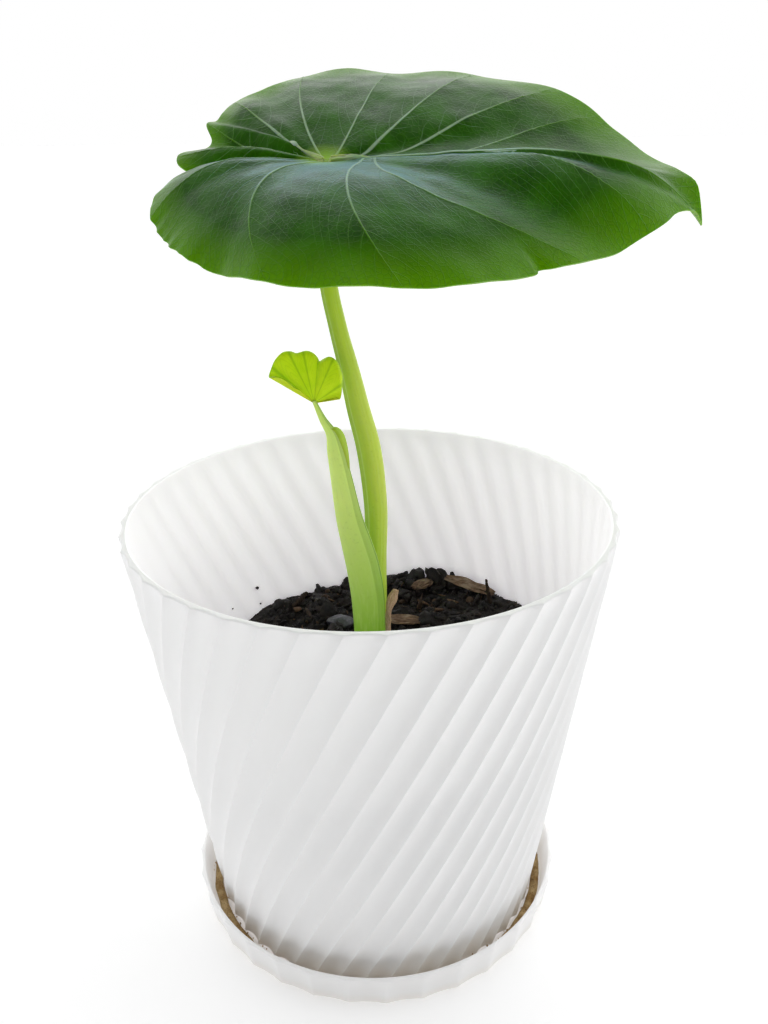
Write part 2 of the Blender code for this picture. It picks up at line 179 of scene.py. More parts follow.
def fill_in(node, *values, **settings):
    """Give a node its settings and links.

    Values go to the sockets in use, in their order. A setting names a property
    or, failing that, a socket. A socket is linked, and a hex code is a colour.
    """
    sockets = []
    for name, value in settings.items():
        if hasattr(node, name):
            setattr(node, name, value)
        else:
            sockets.append((node.inputs[name.replace("_", " ")], value))
    sockets += zip([socket for socket in node.inputs if socket.enabled], values)
    for socket, value in sockets:
        if isinstance(value, bpy.types.NodeSocket):
            node.id_data.links.new(value, socket)
        else:
            socket.default_value = srgb(value) if isinstance(value, str) else value


def add_node(tree, kind, *values, out=None, **settings):
    """Add a shader node, fill it in and return one of its outputs."""
    node = tree.nodes.new("ShaderNode" + kind)
    fill_in(node, *values, **settings)
    if out:
        return node.outputs[out]
    return next(socket for socket in node.outputs if socket.enabled)


def new_material(name, **constants):
    """A Principled material, its shader, and what adds nodes to it."""
    material = bpy.data.materials.new(name)
    material.use_nodes = True
    shader = material.node_tree.nodes["Principled BSDF"]
    fill_in(shader, **constants)
    return material, shader, partial(add_node, material.node_tree)


# %% Light
SIDE_STRENGTH = 1.9
TOP_STRENGTH = 0.9
DOME_FRONT = 0.3
DOME_SIDES = 0.75
DOME_BACK = 0.65
# How much a direction's sideways part counts against its backward part.
SIDE_SHARE = 0.9


def add_softbox(name, location, size, power):
    bpy.ops.object.light_add(type='AREA', location=location)
    lamp = bpy.context.active_object
    lamp.name = name
    lamp.data.shape = 'RECTANGLE'
    lamp.data.size, lamp.data.size_y = size
    lamp.data.energy = power
    aim = Vector((0.0, 0.0, 0.2)) - Vector(location)
    lamp.rotation_euler = aim.to_track_quat('-Z', 'Y').to_euler()


add_softbox("side_right", (1.1, -0.1, 0.75), (0.8, 0.8), SIDE_STRENGTH)
add_softbox("top_front", (-0.25, -0.75, 1.2), (0.8, 0.6), TOP_STRENGTH)
world = bpy.context.scene.world or bpy.data.worlds.new("studio")
bpy.context.scene.world = world
world.use_nodes = True
room = world.node_tree
toward = add_node(room, "TexCoord", out="Generated")
parts = add_node(room, "SeparateXYZ", toward).node.outputs
sideways = add_node(room, "Math", parts["X"], operation='ABSOLUTE')
open_sky = add_node(room, "Math", sideways, SIDE_SHARE, parts["Y"], operation='MULTIPLY_ADD')
sides = add_node(room, "MapRange", open_sky, 0.0, 0.9, DOME_FRONT, DOME_FRONT + DOME_SIDES)
back_wall = add_node(room, "MapRange", parts["Y"], 0.1, 0.9, 0.0, DOME_BACK)
dome = add_node(room, "Math", sides, back_wall, operation='ADD')
# The camera sees plain white, whatever the walls give the plant.
seen = add_node(room, "LightPath", out="Is Camera Ray")
strength = add_node(room, "Mix", seen, dome, 1.0)
fill_in(room.nodes["Background"], Color="FFFFFF", Strength=strength)
bpy.context.scene.view_settings.view_transform = 'Standard'
bpy.context.scene.view_settings.look = 'None'
print("softboxes:", SIDE_STRENGTH, "W and", TOP_STRENGTH, "W")

# %% Floor
bpy.ops.mesh.primitive_plane_add(size=12.0)
floor = bpy.context.active_object
floor.name = "white_sweep"
paper = new_material("white_paper_sweep", Base_Color="F8F8F8", Roughness=0.95,
                     Specular_IOR_Level=0.1, Emission_Color="FFFFFF", Emission_Strength=0.26)[0]
floor.data.materials.append(paper)

# %% [markdown]
# ## White polypropylene
# Pot and saucer are injection-moulded polypropylene: satin, very slightly
# mottled, with a soft orange-peel skin. Hard water and compost have left a tan
# bloom on the lowest two centimetres, so the stain fades with height. Daylight
# comes through a wall this thin. The inside of the pot and the saucer glow
# faintly, a painted light that stands in for it; on the saucer it also lifts
# the shade in the gap round the pot's foot. So the pot has a second, glowing
# material inside.

# %% Materials for the plastic
# A noise's second value is its scale, in blotches per metre: 1000 / 35 makes
# them 35 mm across. Its detail and roughness follow.
STAIN_TOP = 22 * MM


def white_polypropylene(name, stain_top, stain_code, stain_amount, plain, **look):
    material, shader, add = new_material(name, Roughness=0.42, IOR=1.49,
                                         Subsurface_Radius=(1.0, 0.98, 0.97), **look)
    where = add("TexCoord", out="Object")
    mottle = add("TexNoise", where, 1000 / 35, 4.0, 0.55)
    clean = add("Mix", mottle, *plain, data_type='RGBA')
    height = add("SeparateXYZ", where, out="Z")
    ragged = add("TexNoise", where, 1000 / 14, 4.0, 0.55)
    edge = add("Math", ragged, stain_top * 0.8, height, operation='MULTIPLY_ADD')
    fade = add("MapRange", edge, 0.003, stain_top * 1.4, stain_amount, 0.0)
    colour = add("Mix", fade, clean, stain_code, data_type='RGBA')
    peel = add("TexNoise", where, 1000 / 1.2, 4.0, 0.55)
    fill_in(shader, Base_Color=colour, Normal=add("Bump", Distance=0.02 * MM, Height=peel))
    return material


pot_plastic = white_polypropylene(
    "polypropylene_fluted_face", STAIN_TOP, "DCCEB6", 0.6, ("F8F8F8", "FDFDFD"),
    Subsurface_Weight=0.7, Subsurface_Scale=1.4 * MM)
# The inside of the pot glows faintly: painted light for daylight through the wall.
inner_plastic = white_polypropylene(
    "polypropylene_inside_painted_glow", STAIN_TOP, "DCCEB6", 0.4, ("F8F8F8", "FDFDFD"),
    Subsurface_Weight=0.8, Subsurface_Scale=1.2 * MM,
    Emission_Color="FAF2FF", Emission_Strength=0.28)
# The saucer glows faintly: painted light that lifts the shade in the gap round the pot's foot.
saucer_plastic = white_polypropylene(
    "moulded_polypropylene_saucer_painted_glow", 6 * MM, "C9B594", 0.2, ("DCDCDC", "E2E2E2"),
    Subsurface_Weight=1.0, Subsurface_Scale=6 * MM,
    Emission_Color="FFFFFF", Emission_Strength=0.12)

# %% [markdown]
# ## Pot
# The real mould is a tapered bucket whose outside is a ring of hollow flutes
# with sharp ridges between them, wound round by a sixth of a turn. It is made
# as a straight fluted tube first, because a ring of points is easy to extrude
# and round off, and the Simple Deform modifier then twists it all at once.

# %% Pot sizes
pot_low, pot_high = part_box("pot")
POT_FLUTES = 45
FLUTE_STEPS = 12
FLUTE_DEPTH = 1.5 * MM
POT_TWIST = math.radians(57)
POT_RIM_Z = pot_high.z
POT_FOOT_Z = pot_low.z
POT_TOP_RADIUS = (pot_high.x - pot_low.x) / 2
POT_FOOT_RADIUS = 65.4 * MM
POT_INNER_TOP = 86.0 * MM
POT_INNER_FOOT = 62.4 * MM
POT_FLOOR_Z = 7.3 * MM
RIM_ROUND = 0.6 * MM
RUNOUT_HEIGHT = 9 * MM
RUNOUT_SHARE = 0.5
DRAIN_HOLES = 6
DRAIN_RADIUS = 4.5 * MM
DRAIN_RING = 40 * MM
RIPPLE = 0.05 * MM


def pot_inside(height):
    """The radius of the pot's inner wall at a height."""
    climb = (height - POT_FLOOR_Z) / (POT_RIM_Z - POT_FLOOR_Z)
    return POT_INNER_FOOT + climb * (POT_INNER_TOP - POT_INNER_FOOT)


def extrude_ring(obj, rise=0.0, radius=None, grow=0.0):
    """Extrude the selected loop, then round it to a circle or widen it."""
    bpy.ops.mesh.extrude_region_move(TRANSFORM_OT_translate={"value": (0, 0, rise)})
    leave_edit()
    points = coordinates(obj)
    chosen = np.zeros(len(points), dtype=bool)
    obj.data.vertices.foreach_get("select", chosen)
    reach = np.linalg.norm(points[chosen, :2], axis=1, keepdims=True)
    points[chosen, :2] *= (reach + grow if radius is None else radius) / reach
    place_points(obj, points)
    edit(obj)


def cut_tall_edges(obj, taller_than, cuts):
    """Divide every edge that climbs more than a given height."""
    leave_edit()
    mesh = obj.data
    points = coordinates(obj)
    ends = np.empty(len(mesh.edges) * 2, dtype=int)
    mesh.edges.foreach_get("vertices", ends)
    climb = np.abs(np.diff(points[ends.reshape(-1, 2), 2], axis=1)).ravel()
    edit(obj, 'EDGE')
    bpy.ops.mesh.select_all(action='DESELECT')
    leave_edit()
    mesh.edges.foreach_set("select", climb > taller_than)
    edit(obj, 'EDGE')
    bpy.ops.mesh.subdivide(number_cuts=cuts)


def add_fluted_ring(name, flutes, steps, radius, depth, height):
    """A ring of shallow hollows, as one closed loop of points."""
    bpy.ops.mesh.primitive_circle_add(vertices=flutes * steps, radius=radius,
                                      location=(0, 0, height))
    ring = bpy.context.active_object
    ring.name = name
    bpy.ops.object.transform_apply(location=True)
    points = coordinates(ring)
    across = (np.arctan2(points[:, 1], points[:, 0]) * flutes / math.tau) % 1.0
    hollow = depth * 4 * across * (1 - across)
    points[:, :2] *= (1 - hollow / radius)[:, None]
    place_points(ring, points)
    edit(ring)
    bpy.ops.mesh.select_all(action='SELECT')
    return ring


# %% Pot wall and rim
pot = add_fluted_ring("pot_body", POT_FLUTES, FLUTE_STEPS, POT_FOOT_RADIUS,
                      FLUTE_DEPTH, POT_FOOT_Z)
wall_top = POT_RIM_Z - RIM_ROUND
bpy.ops.mesh.extrude_region_move(
    TRANSFORM_OT_translate={"value": (0, 0, wall_top - POT_FOOT_Z)})
flare = POT_TOP_RADIUS / POT_FOOT_RADIUS
bpy.ops.transform.resize(value=(flare, flare, 1), center_override=(0, 0, wall_top))
cut_tall_edges(pot, 10 * MM, 60)
leave_edit()
points = coordinates(pot)
reach = np.linalg.norm(points[:, :2], axis=1)
full = POT_FOOT_RADIUS + (points[:, 2] - POT_FOOT_Z) / (wall_top - POT_FOOT_Z) * (
    POT_TOP_RADIUS - POT_FOOT_RADIUS)
# Just under the rim the flutes run out to half their depth.
runout = RUNOUT_SHARE * ((points[:, 2] - wall_top) / RUNOUT_HEIGHT + 1).clip(0, 1)
points[:, :2] *= (1 + runout * (full - reach) / reach)[:, None]
place_points(pot, points)
edit(pot)
select_verts(pot, lambda p: p[:, 2] > wall_top - 0.01 * MM)
extrude_ring(pot, RIM_ROUND * 0.6, grow=-0.12 * MM)
extrude_ring(pot, RIM_ROUND * 0.4, grow=-0.35 * MM)
extrude_ring(pot, 0.0, radius=POT_INNER_TOP + 0.45 * MM)
extrude_ring(pot, -RIM_ROUND * 0.4, radius=POT_INNER_TOP + 0.1 * MM)
extrude_ring(pot, -RIM_ROUND * 0.6, radius=POT_INNER_TOP)
extrude_ring(pot, POT_FLOOR_Z - wall_top, radius=POT_INNER_FOOT)
extrude_ring(pot, 0.0, radius=30 * MM)
bpy.ops.mesh.edge_face_add()
cut_tall_edges(pot, 10 * MM, 40)
print("rim", round(POT_TOP_RADIUS / MM, 1), "mm, wall cut into 60 and 40 rings")

# %% Pot foot, drain holes and twist
select_verts(pot, lambda p: p[:, 2] < POT_FOOT_Z + 0.01 * MM)
extrude_ring(pot, 0.0, radius=59.5 * MM)
extrude_ring(pot, 3.0 * MM)
bpy.ops.mesh.edge_face_add()
face_outwards(pot)

for hole in range(DRAIN_HOLES):
    angle = math.tau * hole / DRAIN_HOLES
    place = (DRAIN_RING * math.cos(angle), DRAIN_RING * math.sin(angle), POT_FLOOR_Z)
    bpy.ops.mesh.primitive_cylinder_add(vertices=32, radius=DRAIN_RADIUS, depth=10 * MM,
                                        location=place)
    drill = bpy.context.active_object
    cut = pot.modifiers.new("drain_hole", 'BOOLEAN')
    cut.operation = 'DIFFERENCE'
    cut.object = drill
    apply_modifiers(pot)
    bpy.data.objects.remove(drill)

points = coordinates(pot)
reach = np.linalg.norm(points[:, :2], axis=1)
turn = np.arctan2(points[:, 1], points[:, 0])
# The flutes show inside as a ripple that can just be felt.
off_wall = np.abs(reach - pot_inside(points[:, 2]))
on_inside = (off_wall < 0.05 * MM) & (points[:, 2] < wall_top - 2 * MM)
ripple = RIPPLE * np.cos(turn * POT_FLUTES) * on_inside
points[:, :2] *= (1 + ripple / np.maximum(reach, MM))[:, None]
# The flutes lean at one angle all the way up, so they turn less where it is wide.
share = ((points[:, 2] - POT_FOOT_Z) / (POT_RIM_Z - POT_FOOT_Z)).clip(0, 1)
radius = POT_FOOT_RADIUS + share * (POT_TOP_RADIUS - POT_FOOT_RADIUS)
extra = POT_TWIST * (np.log(radius / POT_FOOT_RADIUS)
                     / math.log(POT_TOP_RADIUS / POT_FOOT_RADIUS) - share)
x, y = points[:, 0].copy(), points[:, 1].copy()
points[:, 0] = x * np.cos(extra) - y * np.sin(extra)
points[:, 1] = x * np.sin(extra) + y * np.cos(extra)
place_points(pot, points)
twist = pot.modifiers.new("spiral", 'SIMPLE_DEFORM')
twist.deform_method = 'TWIST'
twist.deform_axis = 'Z'
twist.angle = POT_TWIST
apply_modifiers(pot)
keep(pot, "pot_spiral_fluted", [pot_plastic, inner_plastic], ["pot"],
     smooth=30)
# Faces on the inside take the glowing plastic, which is painted light.
middles = np.empty(len(pot.data.polygons) * 3)
pot.data.polygons.foreach_get("center", middles)
middles = middles.reshape(-1, 3)
inside = np.linalg.norm(middles[:, :2], axis=1) < pot_inside(middles[:, 2]) + 0.5 * MM
pot.data.polygons.foreach_set("material_index", inside.astype(int))

# %% [markdown]
# ## Saucer
# A plain dish with a flat underside. Its outside is a ring of 33 broad, barely
# hollow facets, which show as soft corners along both edges.

# %% Saucer
SAUCER_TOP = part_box("saucer")[1].z
SAUCER_FACETS = 33
SAUCER_FOOT_RADIUS = 71.4
FACET_DEPTH = 0.9
# Up the outside and over the lip, each loop with its rise and growth, then down
# the inside to the floor, each with its rise and radius, all in mm.
OUTSIDE_LOOPS = ((0.3, 0.6), (0.7, 0.35), (SAUCER_TOP / MM - 1.9, 2.3), (0.5, -0.15), (0.4, -0.45))
INSIDE_LOOPS = ((0.0, 72.8), (-0.4, 72.5), (3.6 - SAUCER_TOP / MM, 70.3), (-0.8, 69.9),
                (-0.4, 69.0), (0.0, 30.0))

saucer = add_fluted_ring("saucer_dish", SAUCER_FACETS, FLUTE_STEPS, SAUCER_FOOT_RADIUS * MM,
                         FACET_DEPTH * MM, 0.0)
for rise, grow in OUTSIDE_LOOPS:
    extrude_ring(saucer, rise * MM, grow=grow * MM)
for rise, radius in INSIDE_LOOPS:
    extrude_ring(saucer, rise * MM, radius=radius * MM)
bpy.ops.mesh.edge_face_add()
select_verts(saucer, lambda p: p[:, 2] < 0.01 * MM)
bpy.ops.mesh.edge_face_add()
cut_tall_edges(saucer, 8 * MM, 6)
face_outwards(saucer)
keep(saucer, "saucer_faceted", [saucer_plastic], ["saucer"], smooth=30)

# %% [markdown]
# ## Many small grains
# Silt, crumbs and fibres are thousands of tiny pieces. A few small shapes are
# modelled once, and one function places copies of them in a single mesh. Each
# copy keeps its own tint, so that no two grains need the same colour.

# %% Grain shapes
rng = random.Random(11)


def make_grain(subdivisions, stretch=(1.0, 1.0, 1.0), rough=0.35):
    """A small stone or crumb: an icosphere pushed in and out."""
    bpy.ops.mesh.primitive_ico_sphere_add(subdivisions=subdivisions, radius=1.0)
    grain = bpy.context.active_object
    offset = Vector((rng.uniform(0, 50), rng.uniform(0, 50), 0))
    for vert in grain.data.vertices:
        swell = 1 + rough * noise.noise(vert.co * 1.3 + offset)
        swell += rough * 0.6 * noise.noise(vert.co * 3.1 + offset)
        vert.co = Vector(c * s for c, s in zip(vert.co * swell, stretch))
    return grain


def make_fibre(bend):
    """A thin rootlet: a three-sided cone, cut across and bowed."""
    bpy.ops.mesh.primitive_cone_add(vertices=3, radius1=0.03, radius2=0.012, depth=2.0)
    fibre = bpy.context.active_object
    cut_tall_edges(fibre, 1.0, 5)
    leave_edit()
    points = coordinates(fibre)
    points[:, 0] += bend * (1 - points[:, 2] ** 2)
    points[:, 1] += bend * 0.3 * np.sin(points[:, 2] * 3)
    place_points(fibre, points)
    return fibre


def triangles(obj):
    obj.data.calc_loop_triangles()
    corners = np.empty(len(obj.data.loop_triangles) * 3, dtype=int)
    obj.data.loop_triangles.foreach_get("vertices", corners)
    return corners.reshape(-1, 3)


def scatter(name, shapes, places):
    """One mesh of many copies. A place is (matrix, tint, which shape)."""
    stock = [(coordinates(shape), triangles(shape)) for shape in shapes]
    points, faces, tints, start = [], [], [], 0
    for matrix, tint, which in places:
        base, corners = stock[which]
        turn = np.array(matrix)
        points.append(base @ turn[:3, :3].T + turn[:3, 3])
        faces.append(corners + start)
        tints.append(np.full(len(base), tint))
        start += len(base)
    mesh = bpy.data.meshes.new(name)
    mesh.from_pydata(np.vstack(points).tolist(), [], np.vstack(faces).tolist())
    obj = bpy.data.objects.new(name, mesh)
    bpy.context.collection.objects.link(obj)
    add_attribute(obj, "tint", np.concatenate(tints))
    print(f"{name}: {len(places)} copies")
    return obj


def any_turn(location, size, flat=1.0):
    """A random turn, scaled and then moved to its place."""
    turn = Matrix.Rotation(rng.uniform(0, math.tau), 4, Vector(
        (rng.uniform(-1, 1), rng.uniform(-1, 1), rng.uniform(-1, 1))).normalized())
    scale = Matrix.Diagonal((size, size * rng.uniform(0.7, 1.0), size * flat, 1.0))
    return Matrix.Translation(location) @ turn @ scale


def join(parts):
    bpy.ops.object.select_all(action='DESELECT')
    for part in parts:
        part.select_set(True)
    bpy.context.view_layer.objects.active = parts[0]
    bpy.ops.object.join()
    return parts[0]


pebbles = [make_grain(2), make_grain(2, (1.2, 0.9, 0.7)), make_grain(1, (1.3, 0.8, 0.8))]
clods = [make_grain(3, rough=0.55), make_grain(3, (1.3, 0.9, 0.8), 0.6),
         make_grain(3, (1.0, 0.7, 1.1), 0.6)]
flakes = [make_grain(2, (1.6, 0.8, 0.3), 0.4), make_grain(2, (2.2, 0.6, 0.35), 0.5)]
fibres = [make_fibre(0.25), make_fibre(-0.5), make_fibre(0.9)]

# %% [markdown]
# ## Silt in the saucer
# Watering has carried fine sand and compost dust through the drain holes. It
# has dried as a tan bank in the narrow gap round the pot's foot. A flattened
# torus makes the bank, and loose grains lie on top of it.

# %% Silt
SILT_RADIUS = 67.7 * MM
silt_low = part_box("washed_out_silt")[0]


def silt_material():
    material, shader, add = new_material("dried_sandy_silt", Roughness=0.95)
    where = add("TexCoord", out="Object")
    blotches = add("TexNoise", where, 1000 / 5, 4.0, 0.55)
    tan = add("Mix", add("MapRange", blotches, 0.35, 0.65), "A07C48", "D2B684", data_type='RGBA')
    grit = add("TexNoise", where, 1000 / 0.5, 4.0, 0.55)
    speckled = add("Mix", add("MapRange", grit, 0.55, 0.7), tan, "4A3118", data_type='RGBA')
    fill_in(shader, Base_Color=speckled, Normal=add("Bump", Distance=0.25 * MM, Height=grit))
    return material


bpy.ops.mesh.primitive_torus_add(major_radius=SILT_RADIUS, minor_radius=1.7 * MM,
                                 major_segments=420, minor_segments=12,
                                 location=(0, 0, silt_low.z))
silt = bpy.context.active_object
bpy.ops.object.transform_apply(location=True)
points = coordinates(silt)
for point in points:
    lump = noise.noise(Vector(point) * 260) + 0.5 * noise.noise(Vector(point) * 900)
    point[2] = max(point[2] + 0.5 * MM * lump, silt_low.z)
    point[:2] *= 1 + 0.006 * noise.noise(Vector(point) * 190 + Vector((9, 0, 0)))
place_points(silt, points)
add_attribute(silt, "tint", np.full(len(points), 0.5))
places = []
for _ in range(1500):
    angle = rng.uniform(0, math.tau)
    radius = SILT_RADIUS + rng.gauss(0, 0.9) * MM
    size = rng.uniform(0.15, 0.42) * MM
    height = silt_low.z + rng.uniform(0.9, 1.8) * MM
    spot = Vector((radius * math.cos(angle), radius * math.sin(angle), height))
    places.append((any_turn(spot, size), rng.random(), rng.randrange(3)))
silt = join([silt, scatter("silt_grains", pebbles, places)])
keep(silt, "silt_bank", [silt_material()], ["washed_out_silt"], smooth=60)

# %% [markdown]
# ## Compost
# Moist peat and bark compost: nearly black, crumbly, with brown fibre in it.
# The surface is a fine grid that several sizes of noise push into lumps. Real
# clods, crumbs, flakes and rootlets then lie on it, because a bumpy sheet
# alone has none of the deep shadows that loose compost shows.

# %% Compost material
def compost_material():
    material, shader, add = new_material("moist_peat_compost", IOR=1.4)
    where = add("TexCoord", out="Object")
    tint = add("Attribute", attribute_name="tint", out="Fac")
    blotches = add("TexNoise", where, 1000 / 4, 6.0, 0.7)
    peat = add("Mix", add("MapRange", blotches, 0.4, 0.75), "0B0A0B", "2B211A", data_type='RGBA')
    flecked = add("Mix", add("MapRange", tint, 0.72, 1.0), peat, "57402C", data_type='RGBA')
    damp = add("TexNoise", where, 1000 / 9, 4.0, 0.55)
    crumbs = add("TexNoise", where, 1000 / 0.9, 6.0, 0.7)
    fill_in(shader, Base_Color=flecked, Roughness=add("MapRange", damp, 0.4, 0.65, 0.45, 0.9),
            Normal=add("Bump", Distance=0.6 * MM, Height=crumbs))
    return material


# %% Compost surface
SOIL_LEVEL = 95.5 * MM
SOIL_CELL = 0.85 * MM


def soil_height(x, y):
    """The compost's own slope and slow swells, as the CAD solid has them."""
    swell = math.sin(x / MM * 0.09 + 0.6) * math.cos(y / MM * 0.08 - 0.4)
    return SOIL_LEVEL + 0.075 * x + 0.02 * y + 1.3 * MM * swell


def crumble(x, y):
    """Lumps of three sizes; the fold in the noise makes rounded crumbs."""
    where = Vector((x, y, 0))
    lumps = 2.2 * noise.noise(where * 75) + 1.6 * (0.4 - abs(noise.noise(where * 160)))
    return MM * (lumps + 0.9 * (0.3 - abs(noise.noise(where * 420))))


side = 2 * pot_inside(SOIL_LEVEL) + 6 * MM
cells = int(side / SOIL_CELL)
bpy.ops.mesh.primitive_grid_add(x_subdivisions=cells, y_subdivisions=cells, size=side)
soil = bpy.context.active_object
wall = pot_inside(SOIL_LEVEL)
edit(soil)
select_verts(soil, lambda p: np.linalg.norm(p[:, :2], axis=1) > wall + 0.6 * MM)
bpy.ops.mesh.delete(type='VERT')
leave_edit()
points = coordinates(soil)
for point in points:
    x, y = point[:2]
    point[2] = soil_height(x, y) + crumble(x, y)
reach = np.linalg.norm(points[:, :2], axis=1)
limit = pot_inside(points[:, 2]) - 0.1 * MM
snap = reach > limit - 0.4 * MM
points[snap, :2] *= (limit[snap] / reach[snap])[:, None]
place_points(soil, points)
edit(soil, 'EDGE')
bpy.ops.mesh.select_all(action='DESELECT')
bpy.ops.mesh.select_non_manifold()
bpy.ops.mesh.extrude_region_move(TRANSFORM_OT_translate={"value": (0, 0, -8 * MM)})
# The buried sides draw in a little, and the flat underside a little more.
bpy.ops.transform.resize(value=(0.985, 0.985, 1), center_override=(0, 0, 0))
bpy.ops.mesh.extrude_region_move(TRANSFORM_OT_translate={"value": (0, 0, -30 * MM)})
bpy.ops.transform.resize(value=(0.94, 0.94, 0), center_override=(0, 0, 60 * MM))
bpy.ops.mesh.edge_face_add()
face_outwards(soil)
add_attribute(soil, "tint", np.full(len(soil.data.vertices), 0.3))
print("compost surface:", len(soil.data.polygons), "faces")

# %% Clods, crumbs, flakes and rootlets
STEM_CLEARANCE = 9.5 * MM


def soil_spot(size):
    """A random place on the compost, clear of the wall and the stems."""
    while True:
        radius = (pot_inside(SOIL_LEVEL) - 1.25 * size - 1.0 * MM) * math.sqrt(rng.random())
        angle = rng.uniform(0, math.tau)
        x, y = radius * math.cos(angle), radius * math.sin(angle)
        if math.hypot(x, y + 1.5 * MM) > STEM_CLEARANCE + size:
            return Vector((x, y, soil_height(x, y) + crumble(x, y)))


def lay(count, smallest, largest, shapes, sink, brown=0.0, flat=1.0):
    """Lay copies on the compost, most of them small."""
    places = []
    for _ in range(count):
        size = (smallest + (largest - smallest) * rng.random() ** 2.5) * MM
        spot = soil_spot(size) + Vector((0, 0, size * sink))
        tint = min(1.0, rng.random() * 0.7 + (brown if rng.random() < 0.5 else 0.0))
        places.append((any_turn(spot, size, flat), tint, rng.randrange(len(shapes))))
    return places


BACK_CLODS = ((29, 67, 101.5, 5.5), (36, 62, 101.0, 4.5), (20, 71, 100.0, 4.5),
              (12, 72, 98.5, 4.0), (47, 56, 99.5, 3.6), (57, 45, 98.5, 3.2),
              (-12, 72, 96.0, 3.6), (-24, 68, 94.5, 3.4), (-5, 70, 97.0, 3.2))
back_places = []
for x, y, z, size in BACK_CLODS:
    # Each one rests against the wall, not in it.
    room_left = pot_inside(z * MM) / MM + 0.4 - size
    pull = min(1.0, room_left / math.hypot(x, y))
    place = any_turn(Vector((x * pull, y * pull, z)) * MM, size * MM)
    back_places.append((place, 0.55, rng.randrange(3)))
# A few specks that watering has splashed on to the wall.
WALL_SPECKS = ((-51.6, 56.0, 104.2, 0.8), (-50.6, 55.6, 96.5, 0.45), (-61.3, 44.9, 100.2, 0.4),
               (44.0, 66.0, 112.0, 0.35), (70.0, 36.0, 110.0, 0.3))
speck_places = [(any_turn(Vector(speck[:3]) * MM, speck[3] * MM), 0.2, 0)
                for speck in WALL_SPECKS]
loose = [
    scatter("clods", clods, lay(260, 1.6, 4.2, clods, 0.25) + back_places),
    scatter("crumbs", pebbles, lay(3600, 0.35, 1.7, pebbles, 0.3, 0.2) + speck_places),
    scatter("flakes", flakes, lay(520, 0.7, 2.6, flakes, 0.5, 0.6)),
    scatter("rootlets", fibres, lay(420, 1.5, 6.0, fibres, 0.25, 0.75)),
]
compost = compost_material()
soil = join([soil] + loose[:2])
keep(soil, "compost", [compost], ["soil"], smooth=60)
litter = join(loose[2:])
keep(litter, "compost_flakes_and_rootlets", [compost], smooth=60)
for shape in pebbles + clods + flakes + fibres:
    bpy.data.objects.remove(shape)

# %% [markdown]
# ## Stems
# The grown leaf stands on a round, juicy petiole with fine lengthwise ribs. The
# younger one is a sheath: a flattened tube whose edge laps over itself on the
# right. Each starts as a unit cylinder, is cut into many rings, and is then laid
# along its course, so its cross-section can change all the way up.

# %% Blending a table
def blend_table(knots, rows, at):
    """Rows of numbers that are given at knots, smoothly blended in between."""
    knots = np.asarray(knots, dtype=float)
    rows = np.asarray(rows, dtype=float)
    slopes = np.empty_like(rows)
    slopes[1:-1] = (rows[2:] - rows[:-2]) / (knots[2:] - knots[:-2])[:, None]
    slopes[0] = (rows[1] - rows[0]) / (knots[1] - knots[0])
    slopes[-1] = (rows[-1] - rows[-2]) / (knots[-1] - knots[-2])
    span = np.clip(np.searchsorted(knots, at, side='right') - 1, 0, len(knots) - 2)
    width = (knots[span + 1] - knots[span])[:, None]
    s = (at - knots[span])[:, None] / width
    return ((2 * s ** 3 - 3 * s ** 2 + 1) * rows[span]
            + (s ** 3 - 2 * s ** 2 + s) * slopes[span] * width
            + (3 * s ** 2 - 2 * s ** 3) * rows[span + 1]
            + (s ** 3 - s ** 2) * slopes[span + 1] * width)


# %% A stem along its course
def add_stem(name, stations, sides, rings, shape=None):
    """Lay a cylinder along its stations: x, y, z and two half-widths, in mm."""
    bpy.ops.object.select_all(action='DESELECT')
    bpy.ops.mesh.primitive_cylinder_add(vertices=sides, radius=1.0, depth=1.0)
    stem = bpy.context.active_object
    stem.name = name
    cut_tall_edges(stem, 0.5, rings - 1)
    leave_edit()
    points = coordinates(stem)
    table = np.array(stations, dtype=float)
    steps = np.linalg.norm(np.diff(table[:, :3], axis=0), axis=1)
    knots = np.concatenate([[0.0], np.cumsum(steps)])
    along = (points[:, 2] + 0.5) * knots[-1]
    around = np.arctan2(points[:, 1], points[:, 0])
    course = blend_table(knots, table, along)
    ahead = blend_table(knots, table, np.minimum(along + 0.5, knots[-1]))
    behind = blend_table(knots, table, np.maximum(along - 0.5, 0.0))
    heading = ahead[:, :3] - behind[:, :3]
    heading /= np.linalg.norm(heading, axis=1, keepdims=True)
    across = np.cross([0.0, 1.0, 0.0], heading)
    across /= np.linalg.norm(across, axis=1, keepdims=True)
    forward = np.cross(heading, across)
    swell = 1.0 if shape is None else shape(around, along, knots[-1])
    laid = (course[:, :3] + across * (course[:, 3] * np.cos(around) * swell)[:, None]
            + forward * (course[:, 4] * np.sin(around) * swell)[:, None])
    place_points(stem, laid * MM)
    add_attribute(stem, "along", along)
    add_attribute(stem, "round_x", np.cos(around))
    add_attribute(stem, "round_y", np.sin(around))
    return stem


def stem_vector(add, squeeze):
    """Where a point is on a stem: round it, and squeezed lengthwise."""
    read = [add("Attribute", attribute_name=name, out="Fac")
            for name in ("round_x", "round_y", "along")]
    joined = add("CombineXYZ", *read)
    return add("Mapping", joined, Scale=(1.0, 1.0, squeeze)), read


